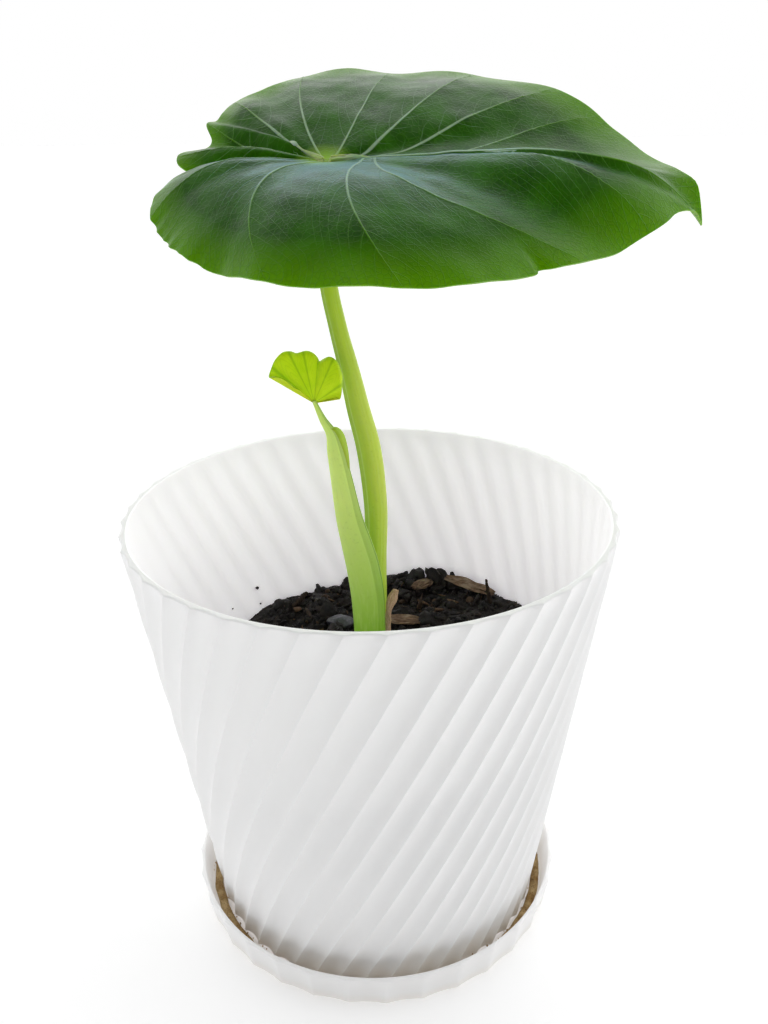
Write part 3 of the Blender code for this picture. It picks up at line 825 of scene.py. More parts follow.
# %% Stem material
def stem_material(name, low, middle, high, margin=None, painted_side_shade=None):
    """Live petiole: waxy skin over wet, translucent flesh, with fine streaks."""
    material, shader, add = new_material(
        name, Roughness=0.36, IOR=1.42, Subsurface_Weight=0.35, Subsurface_Scale=0.002,
        Subsurface_Radius=(0.7, 1.0, 0.1), Specular_IOR_Level=0.4, Specular_Tint="B4E050",
        Sheen_Weight=0.03, Sheen_Roughness=0.3, Sheen_Tint="E4F0DC")
    streaky, (side, _, along) = stem_vector(add, 0.02)
    streaks = add("TexNoise", streaky, 7.0, 3.0)
    spots = add("TexNoise", stem_vector(add, 0.22)[0], 4.5, 2.0)
    climb = add("MapRange", along, 0.0, 190.0)
    foot = add("Mix", add("MapRange", climb, 0.08, 0.42), low, middle, data_type='RGBA')
    layers = [(add("MapRange", climb, 0.55, 1.0), high),
              (add("MapRange", streaks, 0.48, 0.74, 0.0, 0.26), "C6DC84"),
              (add("MapRange", spots, 0.6, 0.75, 0.0, 0.12), "5E8812")]
    # On the sheath, the margin attribute and colour paint shade along its lapped edge.
    if margin:
        layers.append((add("Attribute", attribute_name="margin", out="Fac"), margin))
    # Painted shade: the stem's left side, away from the right softbox, is painted darker green.
    if painted_side_shade:
        layers.append((add("MapRange", side, -0.9, 0.3, 0.65, 0.0), painted_side_shade))
    green = foot
    for share, colour in layers:
        green = add("Mix", share, green, colour, data_type='RGBA')
    fill_in(shader, Base_Color=green, Normal=add("Bump", Distance=0.12 * MM, Height=streaks))
    return material


# %% Grown petiole
MATURE_PETIOLE = ((1.0, 4.0, 95.4, 5.3, 5.3), (1.0, 4.0, 110, 4.9, 4.9),
                  (1.2, 4.2, 126, 4.5, 4.5), (1.8, 4.6, 146, 4.2, 4.2),
                  (2.2, 5.2, 166, 4.2, 4.0), (0.0, 6.0, 188, 4.3, 3.9),
                  (-3.6, 6.5, 204, 4.0, 3.7), (-6.7, 6.8, 219, 3.5, 3.4),
                  (-9.4, 6.2, 231, 3.1, 3.1), (-12.1, 5.3, 246, 2.9, 2.9),
                  (-13.2, 4.6, 262, 2.8, 2.8), (-12.3, 4.2, 275, 2.8, 2.8),
                  (-11.9, 4.0, 284.4, 3.3, 3.3))
CHANNEL_SIDE = math.radians(215)


def petiole_shape(around, along, length):
    """Fine ribs all round and one shallow channel, which the flared foot loses."""
    ribs = 0.012 * np.cos(around * 17) + 0.006 * np.cos(around * 29 + 1)
    off = np.abs((around - CHANNEL_SIDE + math.pi) % math.tau - math.pi)
    channel = 0.09 * np.exp(-(off / 0.28) ** 2) - 0.03 * np.exp(-((off - 0.5) / 0.2) ** 2)
    slow = 0.012 * np.sin(along * 0.09) + 0.008 * np.sin(along * 0.23 + around)
    fade = np.clip(along / 30, 0, 1)
    return 1 + ribs + slow - channel * fade


petiole = add_stem("petiole", MATURE_PETIOLE, 72, 170, petiole_shape)
# The petiole's left side gets a painted shade in dark green.
petiole_green = stem_material("live_petiole", "A6CC38", "D0E460", "A6C800", painted_side_shade="6A981C")
keep(petiole, "petiole_grown", [petiole_green], ["mature_petiole"], smooth=60)

# %% Young sheath
YOUNG_PETIOLE = ((-0.5, -7.0, 95.4, 5.8, 4.5), (-0.6, -7.2, 108, 5.8, 4.6),
                 (-0.7, -7.2, 121, 5.9, 4.6), (-1.2, -6.8, 135, 6.2, 4.5),
                 (-2.9, -6.6, 147, 6.1, 4.4), (-4.9, -6.3, 156, 5.6, 4.2),
                 (-7.2, -6.0, 166, 4.8, 3.8), (-9.6, -6.0, 182, 3.8, 3.1),
                 (-11.3, -6.0, 192, 3.0, 2.5), (-12.5, -6.0, 198, 2.0, 1.9),
                 (-15.2, -6.0, 203, 1.3, 1.3), (-18.0, -6.0, 209.8, 0.7, 0.7))
LAP_SIDE = math.radians(-14)


def sheath_shape(around, along, length):
    """The sheath winds round itself, so there is one step where its edge lies."""
    turned = ((around - LAP_SIDE) % math.tau) / math.tau
    step = 0.06 * (turned - 0.5)
    ribs = 0.006 * np.cos(around * 23)
    slow = 0.012 * np.sin(along * 0.12 + 1) * np.cos(around)
    return 1 + ribs + slow + step * np.clip((107 - along) / 14, 0, 1)


sheath = add_stem("sheath", YOUNG_PETIOLE, 84, 130, sheath_shape)
# The margin attribute is painted shade: a dark line where the sheath's edge laps over and a fainter
# band of painted shade beside it, fading out towards the foot.
margin = []
for x, y, along in zip(*(read_attribute(sheath, name) for name in ("round_x", "round_y", "along"))):
    off = (math.atan2(y, x) - LAP_SIDE + math.pi) % math.tau - math.pi
    edge = math.exp(-(off / 0.13) ** 2) * 0.8 + (0.3 if 0 > off > -0.8 else 0.0)
    margin.append(min(1.0, edge) * min(1.0, along / 40))
add_attribute(sheath, "margin", margin)
# Its last colour, 4C8004, is the painted shade along the lapped edge.
sheath_green = stem_material("live_leaf_sheath", "68A400", "DCF488", "B4DC20", "4C8004")
keep(sheath, "sheath_young", [sheath_green], ["young_petiole"], smooth=40)

# %% The sheath's loose edge
# Where the sheath ends, its edge stands away as a thin, yellow-green flap.
FLAP_FOOT = ((-13.0, -6.6, 200.0), (-11.2, -6.8, 198.6), (-9.9, -6.9, 195.0),
             (-8.9, -7.0, 191.0), (-7.9, -7.0, 186.5), (-7.0, -7.0, 182.0))
FLAP_EDGE = ((-12.6, -6.3, 200.4), (-10.2, -5.4, 199.8), (-8.3, -5.0, 197.2),
             (-7.2, -5.1, 192.6), (-6.7, -5.9, 187.4), (-6.6, -6.7, 182.0))
bpy.ops.object.select_all(action='DESELECT')
bpy.ops.mesh.primitive_grid_add(x_subdivisions=40, y_subdivisions=10, size=1.0)
flap = bpy.context.active_object
points = coordinates(flap)
u, v = points[:, 0] + 0.5, points[:, 1] + 0.5
foot = blend_table(range(6), FLAP_FOOT, u * 5)
edge = blend_table(range(6), FLAP_EDGE, u * 5)
laid = foot + (edge - foot) * v[:, None]
laid[:, 1] -= 0.9 * np.sin(math.pi * v)
place_points(flap, laid * MM)
solid = flap.modifiers.new("thin", 'SOLIDIFY')
solid.thickness = 0.35 * MM
solid.offset = 0.0
solid.use_even_offset = True
apply_modifiers(flap)
flap_green, shader, add = new_material(
    "live_sheath_flap", Roughness=0.4, IOR=1.42, Subsurface_Weight=0.5,
    Subsurface_Scale=0.0015, Subsurface_Radius=(0.8, 1.0, 0.1))
patches = add("TexNoise", add("TexCoord", out="Object"), 1000 / 3, 4.0, 0.55)
fill_in(shader, Base_Color=add("Mix", patches, "94B410", "BAD436", data_type='RGBA'))
keep(flap, "sheath_flap", [flap_green], smooth=60)

# %% [markdown]
# ## The grown leaf
# A peltate heart: the petiole meets the blade well inside its edge, and a deep
# notch opens behind it. The blade is a net of ribs that run out from that
# point. A flat grid is bent into the net: one side of it turns once round the
# petiole and the other runs out to the margin. Distances that matter to a leaf,
# such as the space between veins, are measured along its skin, so each point
# also knows its place on the leaf laid flat, and that becomes its UV map.

# %% Ribs of the blade
BLADE_JUNCTION = np.array((-11.9, 4.0, 285.3)) * MM
# Direction seen from above (0 is the tip), length, rise, lateness, arch.
BLADE_RIBS = (
    (-2, 120.2, -20.7, 8.0, 2.5), (-0.5, 120, -14, 6.0, 2.0), (1.2, 119.3, -8.5, 4.0, 2.0),
    (3, 115.6, -5.7, 2.0, 2.0), (8, 111, -2.5, 2.0, 2.5), (18, 105, 7, 1.5, 2.5),
    (27, 98, 16, 1.1, 3.5), (37, 90, 22, 1.0, 4.0), (49, 82, 25, 1.0, 4.5),
    (63, 75, 26, 1.0, 4.5), (76, 71, 27, 1.0, 4.5), (89, 67, 27, 1.0, 4.5),
    (101, 63, 25.5, 1.0, 4.0), (114, 58, 20.5, 1.0, 3.5), (126, 57, 18, 1.0, 3.0),
    (133, 55, 14, 1.0, 2.5), (137, 53, 11, 1.0, 2.0), (142, 53, 10, 1.0, 2.5),
    (148, 46, 5.6, 1.8, -0.5), (156, 47, 3.5, 1.2, 0.5), (161, 49, 3, 1.0, 2.0),
    (166, 50, 1, 1.0, 2.5), (171, 48, -1.5, 1.2, 0.5), (175, 38, -4, 1.2, -1.0),
    (178, 17, -2.5, 1.0, 0.0), (181, 36, -2, 2.0, 1.5), (184, 47, -3, 5.0, 1.5),
    (189, 52, -7, 5.0, 1.5), (196, 55, -12, 4.0, 1.5), (204, 56, -16, 3.0, 1.0),
    (219, 56, -21, 2.6, 0.5), (235, 56, -25, 2.4, 0.0), (249, 59, -26, 2.3, 0.0),
    (269, 64, -26.7, 2.3, 0.0), (288, 69, -26.8, 2.3, 0.0), (306, 74, -27.6, 2.3, 0.0),
    (317, 78, -27, 2.3, 0.0), (326, 81, -26, 2.4, 0.0), (340, 92, -25, 2.6, 0.5),
    (350, 107, -17, 4.0, 1.5), (354, 112, -15, 5.0, 2.0), (356.5, 117.5, -16, 5.0, 2.0))
ribs = np.array(BLADE_RIBS, dtype=float)
FULL_TURN = np.array((360.0, 0, 0, 0, 0))
wrapped_ribs = np.concatenate([ribs[-3:] - FULL_TURN, ribs, ribs[:3] + FULL_TURN])


def blade_rib(angle):
    """Length, rise, lateness and arch in many directions."""
    return blend_table(wrapped_ribs[:, 0], wrapped_ribs[:, 1:], angle).T


def blade_height(share, rise, lateness, arch):
    return rise * share ** lateness + arch * np.sin(math.pi * share)


def along_skin(angle, share, steps=40):
    """How far a point is from the petiole, measured over the blade."""
    length, rise, lateness, arch = blade_rib(angle)
    total = np.zeros_like(share)
    last = blade_height(np.zeros_like(share), rise, lateness, arch)
    for step in range(1, steps + 1):
        here = blade_height(share * step / steps, rise, lateness, arch)
        total += np.hypot(length * share / steps, here - last)
        last = here
    return total


# %% Veins
# Each main vein: where it leaves the midrib (mm from the petiole), a place that
# it passes (direction and distance), its direction at the margin and its girth.
MIDRIB_DIRECTION = -2
MAIN_VEINS = (
    (0, -2, 60, -2, 1.0), (0, 108, 30, 99, 0.6), (0, 60, 18, 72, 0.5), (6, 38, 34, 50, 0.6),
    (12, 23, 40, 32, 0.6), (40, 17, 63, 22, 0.45), (0, 134, 25, 127, 0.6),
    (0, 147, 30, 142, 0.4), (0, 163, 28, 166, 0.35), (0, 191, 28, 200, 0.35),
    (0, 234, 34, 256, 0.6), (13, 283, 38, 289, 0.65), (16, 316, 42, 332, 0.65),
    (48, 352, 79, 347, 0.5))


def flat_place(direction, distance):
    turn = math.radians(direction)
    return np.array((math.cos(turn), math.sin(turn))) * distance


def vein_course(vein, count=90):
    """Points of a vein on the leaf laid flat, in mm, as a quadratic curve."""
    start, via_direction, via_distance, end_direction, _ = vein
    reach = along_skin(np.array([float(end_direction)]), np.array([0.985]))[0]
    first = flat_place(MIDRIB_DIRECTION, start)
    last = flat_place(end_direction, reach)
    middle = flat_place(via_direction, via_distance)
    control = 2 * middle - (first + last) / 2
    t = np.linspace(0, 1, count)[:, None]
    return (1 - t) ** 2 * first + 2 * t * (1 - t) * control + t ** 2 * last


def nearest_vein(flat):
    """For each flat point: signed distance to a vein, place along it, and more."""
    best = np.full(len(flat), 1e9)
    second = np.full(len(flat), 1e9)
    signed, along, girth = (np.zeros(len(flat)) for _ in range(3))
    for vein in MAIN_VEINS:
        course = vein_course(vein)
        steps = np.diff(course, axis=0)
        lengths = np.linalg.norm(steps, axis=1)
        travelled = np.concatenate([[0], np.cumsum(lengths)])
        gap = np.full(len(flat), 1e9)
        side, place = np.zeros(len(flat)), np.zeros(len(flat))
        for start, step, length, before in zip(course, steps, lengths, travelled):
            offset = flat - start
            share = np.clip(offset @ step / length ** 2, 0, 1)
            away = np.linalg.norm(offset - share[:, None] * step, axis=1)
            closer = away < gap
            gap[closer] = away[closer]
            turn = step[0] * offset[closer, 1] - step[1] * offset[closer, 0]
            side[closer] = np.where(turn < 0, -1.0, 1.0)
            place[closer] = before + share[closer] * length
        wins = gap < best
        second = np.minimum(second, np.maximum(gap, best))
        best = np.minimum(best, gap)
        signed[wins] = (gap * side)[wins]
        along[wins] = place[wins]
        girth[wins] = vein[4] * 0.78 * (1 - 0.72 * place[wins] / travelled[-1])
    return signed, along, girth, second - best


print("main veins:", len(MAIN_VEINS))

# %% Bend a grid into the blade
AROUND = 640
OUTWARD = 68
bpy.ops.object.select_all(action='DESELECT')
bpy.ops.mesh.primitive_grid_add(x_subdivisions=AROUND, y_subdivisions=OUTWARD, size=1.0)
blade = bpy.context.active_object
points = coordinates(blade)
angle = (points[:, 0] + 0.5) * 360 - 2
share = (points[:, 1] + 0.5) ** 0.94
length, rise, lateness, arch = blade_rib(angle)
turn = np.radians(angle)
laid = np.stack([share * length * np.cos(turn), share * length * np.sin(turn),
                 blade_height(share, rise, lateness, arch)], axis=1)
place_points(blade, laid * MM + BLADE_JUNCTION)
reach = along_skin(angle, share)
flat = np.stack([reach * np.cos(turn), reach * np.sin(turn)], axis=1)
add_attribute(blade, "flat_x", flat[:, 0])
add_attribute(blade, "flat_y", flat[:, 1])
add_attribute(blade, "share", share)
face_outwards(blade, 0.002 * MM)

flat = np.stack([read_attribute(blade, "flat_x"), read_attribute(blade, "flat_y")], axis=1)
share = read_attribute(blade, "share")
print("blade net:", len(flat), "points; widest reach", round(float(np.abs(flat).max())), "mm")

# %% Raise the veins and let the margin wave
normals = np.empty(len(flat) * 3)
blade.data.vertices.foreach_get("normal", normals)
normals = normals.reshape(-1, 3)
if normals[:, 2].mean() < 0:
    edit(blade)
    bpy.ops.mesh.select_all(action='SELECT')
    bpy.ops.mesh.flip_normals()
    leave_edit()
    normals = -normals
signed, along, girth, seam = nearest_vein(flat)
away = np.abs(signed)
reach = np.linalg.norm(flat, axis=1)
open_up = np.clip(reach / 26, 0, 1) * np.clip((1 - share) / 0.16, 0, 1)
crest = 0.55 * np.exp(-(away / 4.0) ** 1.5) * open_up
line = 0.22 * np.exp(-(away / np.maximum(girth, 0.2)) ** 2) * np.clip(reach / 5, 0, 1)
puff = np.array([0.7 * noise.noise(Vector((x / 19, y / 19, 0.0)))
                 + 0.22 * noise.noise(Vector((x / 6.5, y / 6.5, 5.0))) for x, y in flat])
direction = np.degrees(np.arctan2(flat[:, 1], flat[:, 0])) % 360
near_edge = np.clip((share - 0.82) / 0.18, 0, 1)
wave = 0.8 * np.sin(np.radians(direction) * 13 + 1.0) * near_edge ** 2
lift = (crest + line + puff * open_up.clip(0.25, 1) + wave) * MM
scallop_zone = np.exp(-((direction - 214) / 20) ** 2)
scallop = 0.55 * np.abs(np.sin(np.radians(direction) * 34)) * scallop_zone
notch = 2.4 * np.exp(-((direction - 323.5) / 1.6) ** 2)
tuck = (scallop + notch + 0.25 * np.sin(np.radians(direction) * 41)) * near_edge ** 3
points = coordinates(blade) + normals * lift[:, None]
outward = np.zeros_like(points)
outward[:, :2] = flat / np.maximum(reach, 1.0)[:, None]
points -= outward * (tuck * MM)[:, None]
place_points(blade, points)

# %% Vein attributes, flat UV map and thickness
SECONDARY_LEAN = 1.0
SECONDARY_BEND = 0.12
phase = along - SECONDARY_LEAN * away - SECONDARY_BEND * away ** 2
for name, values in (("vein_side", signed), ("vein_away", away), ("vein_girth", girth),
                     ("vein_seam", seam), ("side_phase", phase), ("reach", reach)):
    add_attribute(blade, name, values)
layer = blade.data.uv_layers[0]
layer.name = "laid_flat"
corner_points = np.empty(len(blade.data.loops), dtype=int)
blade.data.loops.foreach_get("vertex_index", corner_points)
layer.data.foreach_set("uv", (flat[corner_points] * MM).ravel())

LEAF_THICKEST = 2.3 * MM
THINNEST_SHARE = 0.22
rib_profile = np.exp(-(away / (girth * 1.5 + 0.25)) ** 2)
ribbed = rib_profile * girth / 1.3 * np.clip((1 - share) * 5, 0, 1)
body = blade.vertex_groups.new(name="thickness")
for index, weight in enumerate(THINNEST_SHARE + (1 - THINNEST_SHARE) * ribbed):
    body.add([index], float(weight), 'REPLACE')
solid = blade.modifiers.new("flesh", 'SOLIDIFY')
solid.thickness = LEAF_THICKEST
solid.offset = -1.0
solid.vertex_group = "thickness"
upper_faces = len(blade.data.polygons)
apply_modifiers(blade)
print("blade:", len(blade.data.polygons), "faces after it is given its flesh")

# %% [markdown]
# A leaf's upper skin is dark green under a thin, bluish wax, which shows as a
# pale sheen wherever the skin is seen at a low angle. The flesh lets light
# through, so the hanging edge glows yellow-green. Main veins are pale and taper,
# side veins leave them about every 8 mm, and a fine net joins those.

# %% Leaf materials
SIDE_VEIN_SPACING = 8.0
NET_CELL_MM = 2.0


def leaf_material(name, colours, line_strength, bump_mm, bloom, **settings):
    """Colours: dark, light, margin, main vein, side vein, net and heart."""
    dark, light, margin, main, minor, net, heart = colours
    material, shader, add = new_material(
        name, IOR=1.45, Subsurface_Weight=0.45, Subsurface_Scale=0.0016,
        Subsurface_Radius=(0.55, 1.0, 0.05), **settings)
    flat_map = add("UVMap", uv_map="laid_flat")
    vein_side, vein_away, girth, seam, side_phase, reach, share_out = [
        add("Attribute", attribute_name=attribute, out="Fac")
        for attribute in ("vein_side", "vein_away", "vein_girth", "vein_seam", "side_phase",
                          "reach", "share")]
    blotches = add("TexNoise", flat_map, 1000 / 17, 3.0, 0.55)
    # The side lines: a triangle wave of the distance along the main vein.
    wander = add("TexNoise", flat_map, 1000 / 9, 2.0, 0.55)
    phase = add("Math", wander, 3.2, side_phase, operation='MULTIPLY_ADD')
    off_line = add("Math", phase, SIDE_VEIN_SPACING / 2, operation='PINGPONG')
    side_line = add("Math", add("MapRange", off_line, 0.07, 0.3, 1.0, 0.0),
                    add("MapRange", seam, 0.6, 5.0), operation='MULTIPLY')
    cells = add("TexVoronoi", flat_map, 1000 / NET_CELL_MM, feature='DISTANCE_TO_EDGE')
    net_line = add("MapRange", cells, 0.01, 0.1, 1.0, 0.0)
    off_vein = add("Math", add("Math", vein_side, operation='ABSOLUTE'),
                   add("Math", vein_away, 0.9, operation='SUBTRACT'), operation='MAXIMUM')
    relative = add("Math", off_vein, girth, operation='DIVIDE')
    main_line = add("MapRange", relative, 0.55, 1.25, 1.0, 0.0)
    # The shoulder mask sets the wax bloom's sheen, thick on the shoulder of the blade and worn off
    # near its margin. It also paints the veins there paler and greyer: a painted sheen.
    shoulder = add("MapRange", share_out, 0.45, 0.78, 1.0, 0.0)
    side_vein_painted_sheen = add("Mix", shoulder, minor, "5C8058", data_type='RGBA')
    main_vein_painted_sheen = add("Mix", shoulder, main, "A4C0A0", data_type='RGBA')
    layers = (
        (add("MapRange", share_out, 0.8, 1.0, 0.0, 0.75), margin),
        (add("Math", net_line, 0.32 * line_strength, operation='MULTIPLY'), net),
        (add("Math", side_line, 0.6 * line_strength, operation='MULTIPLY'), side_vein_painted_sheen),
        (add("Math", main_line, 0.85 * line_strength, operation='MULTIPLY'), main_vein_painted_sheen),
        (add("MapRange", reach, 2.0, 10.0, 0.85, 0.0), heart))
    green = add("Mix", add("MapRange", blotches, 0.35, 0.68), dark, light, data_type='RGBA')
    for share, colour in layers:
        green = add("Mix", share, green, colour, data_type='RGBA')
    flat_y = add("SeparateXYZ", flat_map, out="Y")
    facing = add("MapRange", flat_y, -1.5 * MM, 5 * MM, 1.0, 0.1)
    waxed = add("Math", add("MapRange", shoulder, 0.0, 1.0, 0.1 * bloom, bloom), facing,
                operation='MULTIPLY')
    relief = main_line
    grain = add("TexNoise", flat_map, 1000 / 0.7, 2.0, 0.55)
    for height, amount in ((side_line, 0.6), (net_line, 0.35), (grain, 0.25)):
        relief = add("Math", height, amount, relief, operation='MULTIPLY_ADD')
    fill_in(shader, Base_Color=green, Sheen_Weight=waxed,
            Roughness=add("MapRange", blotches, 0.3, 0.7, 0.29, 0.38),
            Normal=add("Bump", Distance=bump_mm * MM, Height=relief))
    return material


leaf_top = leaf_material(
    "waxy_leaf_upper_skin",
    ("1A4400", "2E6400", "6AA000", "5A8E20", "4A8010", "3A6C08", "9CC43C"), 0.9, 0.12, 1.0,
    Sheen_Roughness=0.3, Sheen_Tint="B4E4FF", Specular_IOR_Level=0.22, Specular_Tint="6CB000")
leaf_under = leaf_material(
    "matt_leaf_underside",
    ("5F8C2A", "6F9C35", "7BA62E", "B4CC78", "93B556", "7FA548", "B4CC6A"), 1.0, 0.12, 0.1,
    Sheen_Roughness=0.5)
keep(blade, "leaf_grown", [leaf_top, leaf_under], ["mature_leaf_blade"],
     smooth=60)
# Solidify lists the upper faces first, then those of the underside and the rim.
underside = np.arange(len(blade.data.polygons)) >= upper_faces
blade.data.polygons.foreach_set("material_index", underside.astype(int))

# %% [markdown]
# ## The unfurling leaf
# The youngest leaf is a small fan, thin enough to glow. It is pleated along its
# veins and cupped, and its left margin is still rolled over towards the front.
# The fan is a grid whose columns run from the foot out to points on its edge;
# the columns past the tip fold back over the blade and make the rolled margin.

# %% Unfurling leaf
YOUNG_BLADE_FOOT = np.array((-18.0, -6.0, 209.3))
# Edge points from the lower right over the top to the rolled left side:
# x and z from the foot, then how far each point leans back.
YOUNG_BLADE_EDGE = (
    (7.6, 1.6, 0.0), (8.9, 1.2, 0.6), (9.3, 3.0, 1.6), (9.4, 5.6, 2.4), (9.6, 8.4, 3.4),
    (8.6, 11.6, 4.6), (7.2, 13.6, 5.4), (5.3, 14.3, 5.9), (3.4, 13.6, 6.0), (1.9, 12.7, 6.2),
    (1.2, 14.0, 6.6), (-0.4, 15.6, 7.0), (-2.6, 16.2, 7.0), (-4.6, 15.8, 6.6),
    (-6.0, 15.7, 6.2), (-8.0, 16.5, 5.6), (-10.4, 16.3, 4.6), (-12.6, 14.4, 3.4),
    (-13.9, 12.0, 2.2), (-14.8, 9.2, 0.8), (-12.4, 9.6, -0.8), (-9.6, 8.8, -1.6),
    (-6.8, 6.4, -1.5), (-4.6, 5.0, -1.2))
YOUNG_VEINS = (0.13, 0.27, 0.42, 0.54, 0.66, 0.78)

bpy.ops.object.select_all(action='DESELECT')
bpy.ops.mesh.primitive_grid_add(x_subdivisions=180, y_subdivisions=48, size=1.0)
young = bpy.context.active_object
young.name = "young_fan"
points = coordinates(young)
across = points[:, 0] + 0.5
share = points[:, 1] + 0.5
edge = blend_table(range(len(YOUNG_BLADE_EDGE)), YOUNG_BLADE_EDGE,
                   across * (len(YOUNG_BLADE_EDGE) - 1))
x, z, lean = edge.T
vein = np.min([np.abs(across - place) for place in YOUNG_VEINS], axis=0)
pleat = -0.45 * np.exp(-(vein / 0.025) ** 2) + 0.3 * np.cos(vein * 45)
cup = lean * share ** 1.25 + pleat * share * (1.15 - 0.4 * share)
curl = np.clip((share - 0.9) / 0.1, 0, 1) ** 2
top_edge = np.clip((across - 0.05) * 12, 0, 1) * np.clip((0.8 - across) * 12, 0, 1)
laid = np.stack([x * share, cup + 0.9 * curl * top_edge, z * share - 0.3 * curl * top_edge], axis=1)
place_points(young, (laid + YOUNG_BLADE_FOOT + (0, 0, -0.2)) * MM)
add_attribute(young, "vein", vein)
add_attribute(young, "share", share)
face_outwards(young, 0.001 * MM)
solid = young.modifiers.new("flesh", 'SOLIDIFY')
solid.thickness = 0.42 * MM
solid.offset = 0.0
apply_modifiers(young)

fresh, shader, add = new_material(
    "fresh_leaf_flesh", Roughness=0.42, IOR=1.42, Specular_IOR_Level=0.3,
    Subsurface_Weight=0.75, Subsurface_Scale=0.0015, Subsurface_Radius=(0.8, 1.0, 0.06))
where = add("TexCoord", out="Object")
off_vein = add("Attribute", attribute_name="vein", out="Fac")
share_out = add("Attribute", attribute_name="share", out="Fac")
# Fine veins run slantwise from each main one to the margin.
slant = add("Math", off_vein, -90.0, operation='MULTIPLY')
fine = add("Math", share_out, 14.0, slant, operation='MULTIPLY_ADD')
fine = add("Math", fine, 1.0, operation='PINGPONG')
blotches = add("TexNoise", where, 1000 / 3.5, 3.0, 0.55)
green = add("Mix", blotches, "BAD802", "DAEE2E", data_type='RGBA')
for line, colour in ((add("MapRange", off_vein, 0.0, 0.013, 0.6, 0.0), "7CA600"),
                     (add("MapRange", fine, 0.0, 0.25, 0.22, 0.0), "7CA404"),
                     (add("MapRange", share_out, 0.965, 1.0, 0.0, 0.7), "8AB008")):
    green = add("Mix", line, green, colour, data_type='RGBA')
grain = add("TexNoise", where, 1000 / 1.1, 4.0, 0.55)
fill_in(shader, Base_Color=green, Normal=add("Bump", Distance=0.1 * MM, Height=grain))
keep(young, "leaf_young", [fresh], ["young_leaf_blade"], smooth=60)

# %% [markdown]
# ## Litter on the compost
# Composted bark breaks along its fibres into flat, splintered chips. Each chip
# is a cube that is cut finely and pushed about: long ridges follow its length
# and its ends are torn to different lengths. The twigs and the dried stub of an
# old leaf sheath are stems like those above, only rough.

# %% Fibrous materials
def fibrous_material(name, dark, light, streak_mm, roughness, grey=None):
    """Weathered plant fibre: streaks along the piece, which its attribute gives."""
    material, shader, add = new_material(name, IOR=1.4, Specular_IOR_Level=0.3,
                                         Roughness=roughness)
    streaks = add("TexNoise", stem_vector(add, 0.12)[0], 6.0 / streak_mm, 6.0, 0.65)
    colour = add("Mix", add("MapRange", streaks, 0.35, 0.68), dark, light, data_type='RGBA')
    patches = add("TexNoise", add("TexCoord", out="Object"), 1000 / 6, 4.0, 0.6)
    if grey:
        colour = add("Mix", add("MapRange", patches, 0.5, 0.68), colour, grey, data_type='RGBA')
    relief = add("Math", patches, 0.4, streaks, operation='MULTIPLY_ADD')
    fill_in(shader, Base_Color=colour, Normal=add("Bump", Distance=0.3 * MM, Height=relief))
    return material


bark = fibrous_material("composted_pine_bark", "46362B", "8A705A", 2.0, 0.85, "8C7A68")
straw = fibrous_material("dried_leaf_sheath", "A88466", "E0C4A4", 1.0, 0.8)
dark_wood = fibrous_material("damp_dark_twig", "17110D", "3A2C21", 1.2, 0.8)

# %% Bark chips
BARK_CHIPS = {
    "bark_chip_large": (42.5, 53.5, -30, 6, 23, 9, 2.6),
    "bark_chip_flat": (13.0, 33.5, -4, 2, 15, 9, 2.2),
    "bark_chip_curled": (-40.0, -18.0, 65, 4, 17, 8, 2.4),
    "bark_chip_small_1": (30.0, -28.0, 20, 3, 11, 7, 2.0),
    "bark_chip_small_2": (-20.0, -48.0, 140, 5, 12, 6, 1.8),
    "bark_chip_small_3": (-52.0, 18.0, 100, 4, 10, 6, 2.2),
    "bark_chip_small_4": (22.0, 60.0, 50, 5, 12, 8, 3.0)}
BARK_GAP = 0.3


def add_bark_chip(name, length, width, thickness, offset):
    """A torn slab along X, in metres, before it is laid down."""
    bpy.ops.object.select_all(action='DESELECT')
    bpy.ops.mesh.primitive_cube_add(size=1.0)
    chip = bpy.context.active_object
    chip.name = name
    edit(chip)
    bpy.ops.mesh.select_all(action='SELECT')
    bpy.ops.mesh.subdivide(number_cuts=26)
    leave_edit()
    points = coordinates(chip) * 2
    for point in points:
        x, y, z = point
        rounder = 1 - 0.28 * max(0.0, abs(y) + abs(z) - 1.0)
        fibre = noise.noise(Vector((x * 1.2, y * 7, z * 3)) + offset)
        tear = noise.noise(Vector((0.0, y * 5, z * 4)) + offset)
        end = max(0.0, abs(x) - 0.55) / 0.45
        taper = 1 - 0.45 * abs(x) ** 2.2 + 0.16 * fibre
        ripple = 0.24 * noise.noise(Vector((x * 2.3, y * 2.2, z)) + offset * 2)
        point[0] = x * (1 + 0.2 * tear * end) + 0.04 * fibre
        point[1] = y * rounder * taper + 0.12 * noise.noise(Vector((x * 2.5, 0, 0)) + offset)
        point[2] = z * rounder * taper + ripple * 1.4 + 0.12 * y * y + 0.25 * fibre
    half = np.array((length, width, thickness)) / 2 * MM
    for name, axis, reach in (("along", 0, length / 2), ("round_x", 1, width / 4),
                              ("round_y", 2, thickness / 4)):
        add_attribute(chip, name, points[:, axis] * reach)
    place_points(chip, points * half * (0.93, 0.9, 0.8))
    return chip


for number, (name, spec) in enumerate(BARK_CHIPS.items()):
    x, y, turn, tilt, length, width, thickness = spec
    chip = add_bark_chip(name + "_torn", length, width, thickness, Vector((number * 7.3, 2.0, 0)))
    corners = (-length / 2, 0, length / 2)
    ground = max(soil_height((x + dx) * MM, (y + dy) * MM) for dx in corners for dy in corners)
    lift = (math.sin(math.radians(tilt)) * length / 2 + thickness + BARK_GAP) * MM
    chip.matrix_world = (Matrix.Translation((x * MM, y * MM, ground + lift))
                         @ Matrix.Rotation(math.radians(turn), 4, 'Z')
                         @ Matrix.Rotation(math.radians(tilt), 4, 'Y'))
    keep(chip, name + "_torn", [bark], [name], smooth=50)

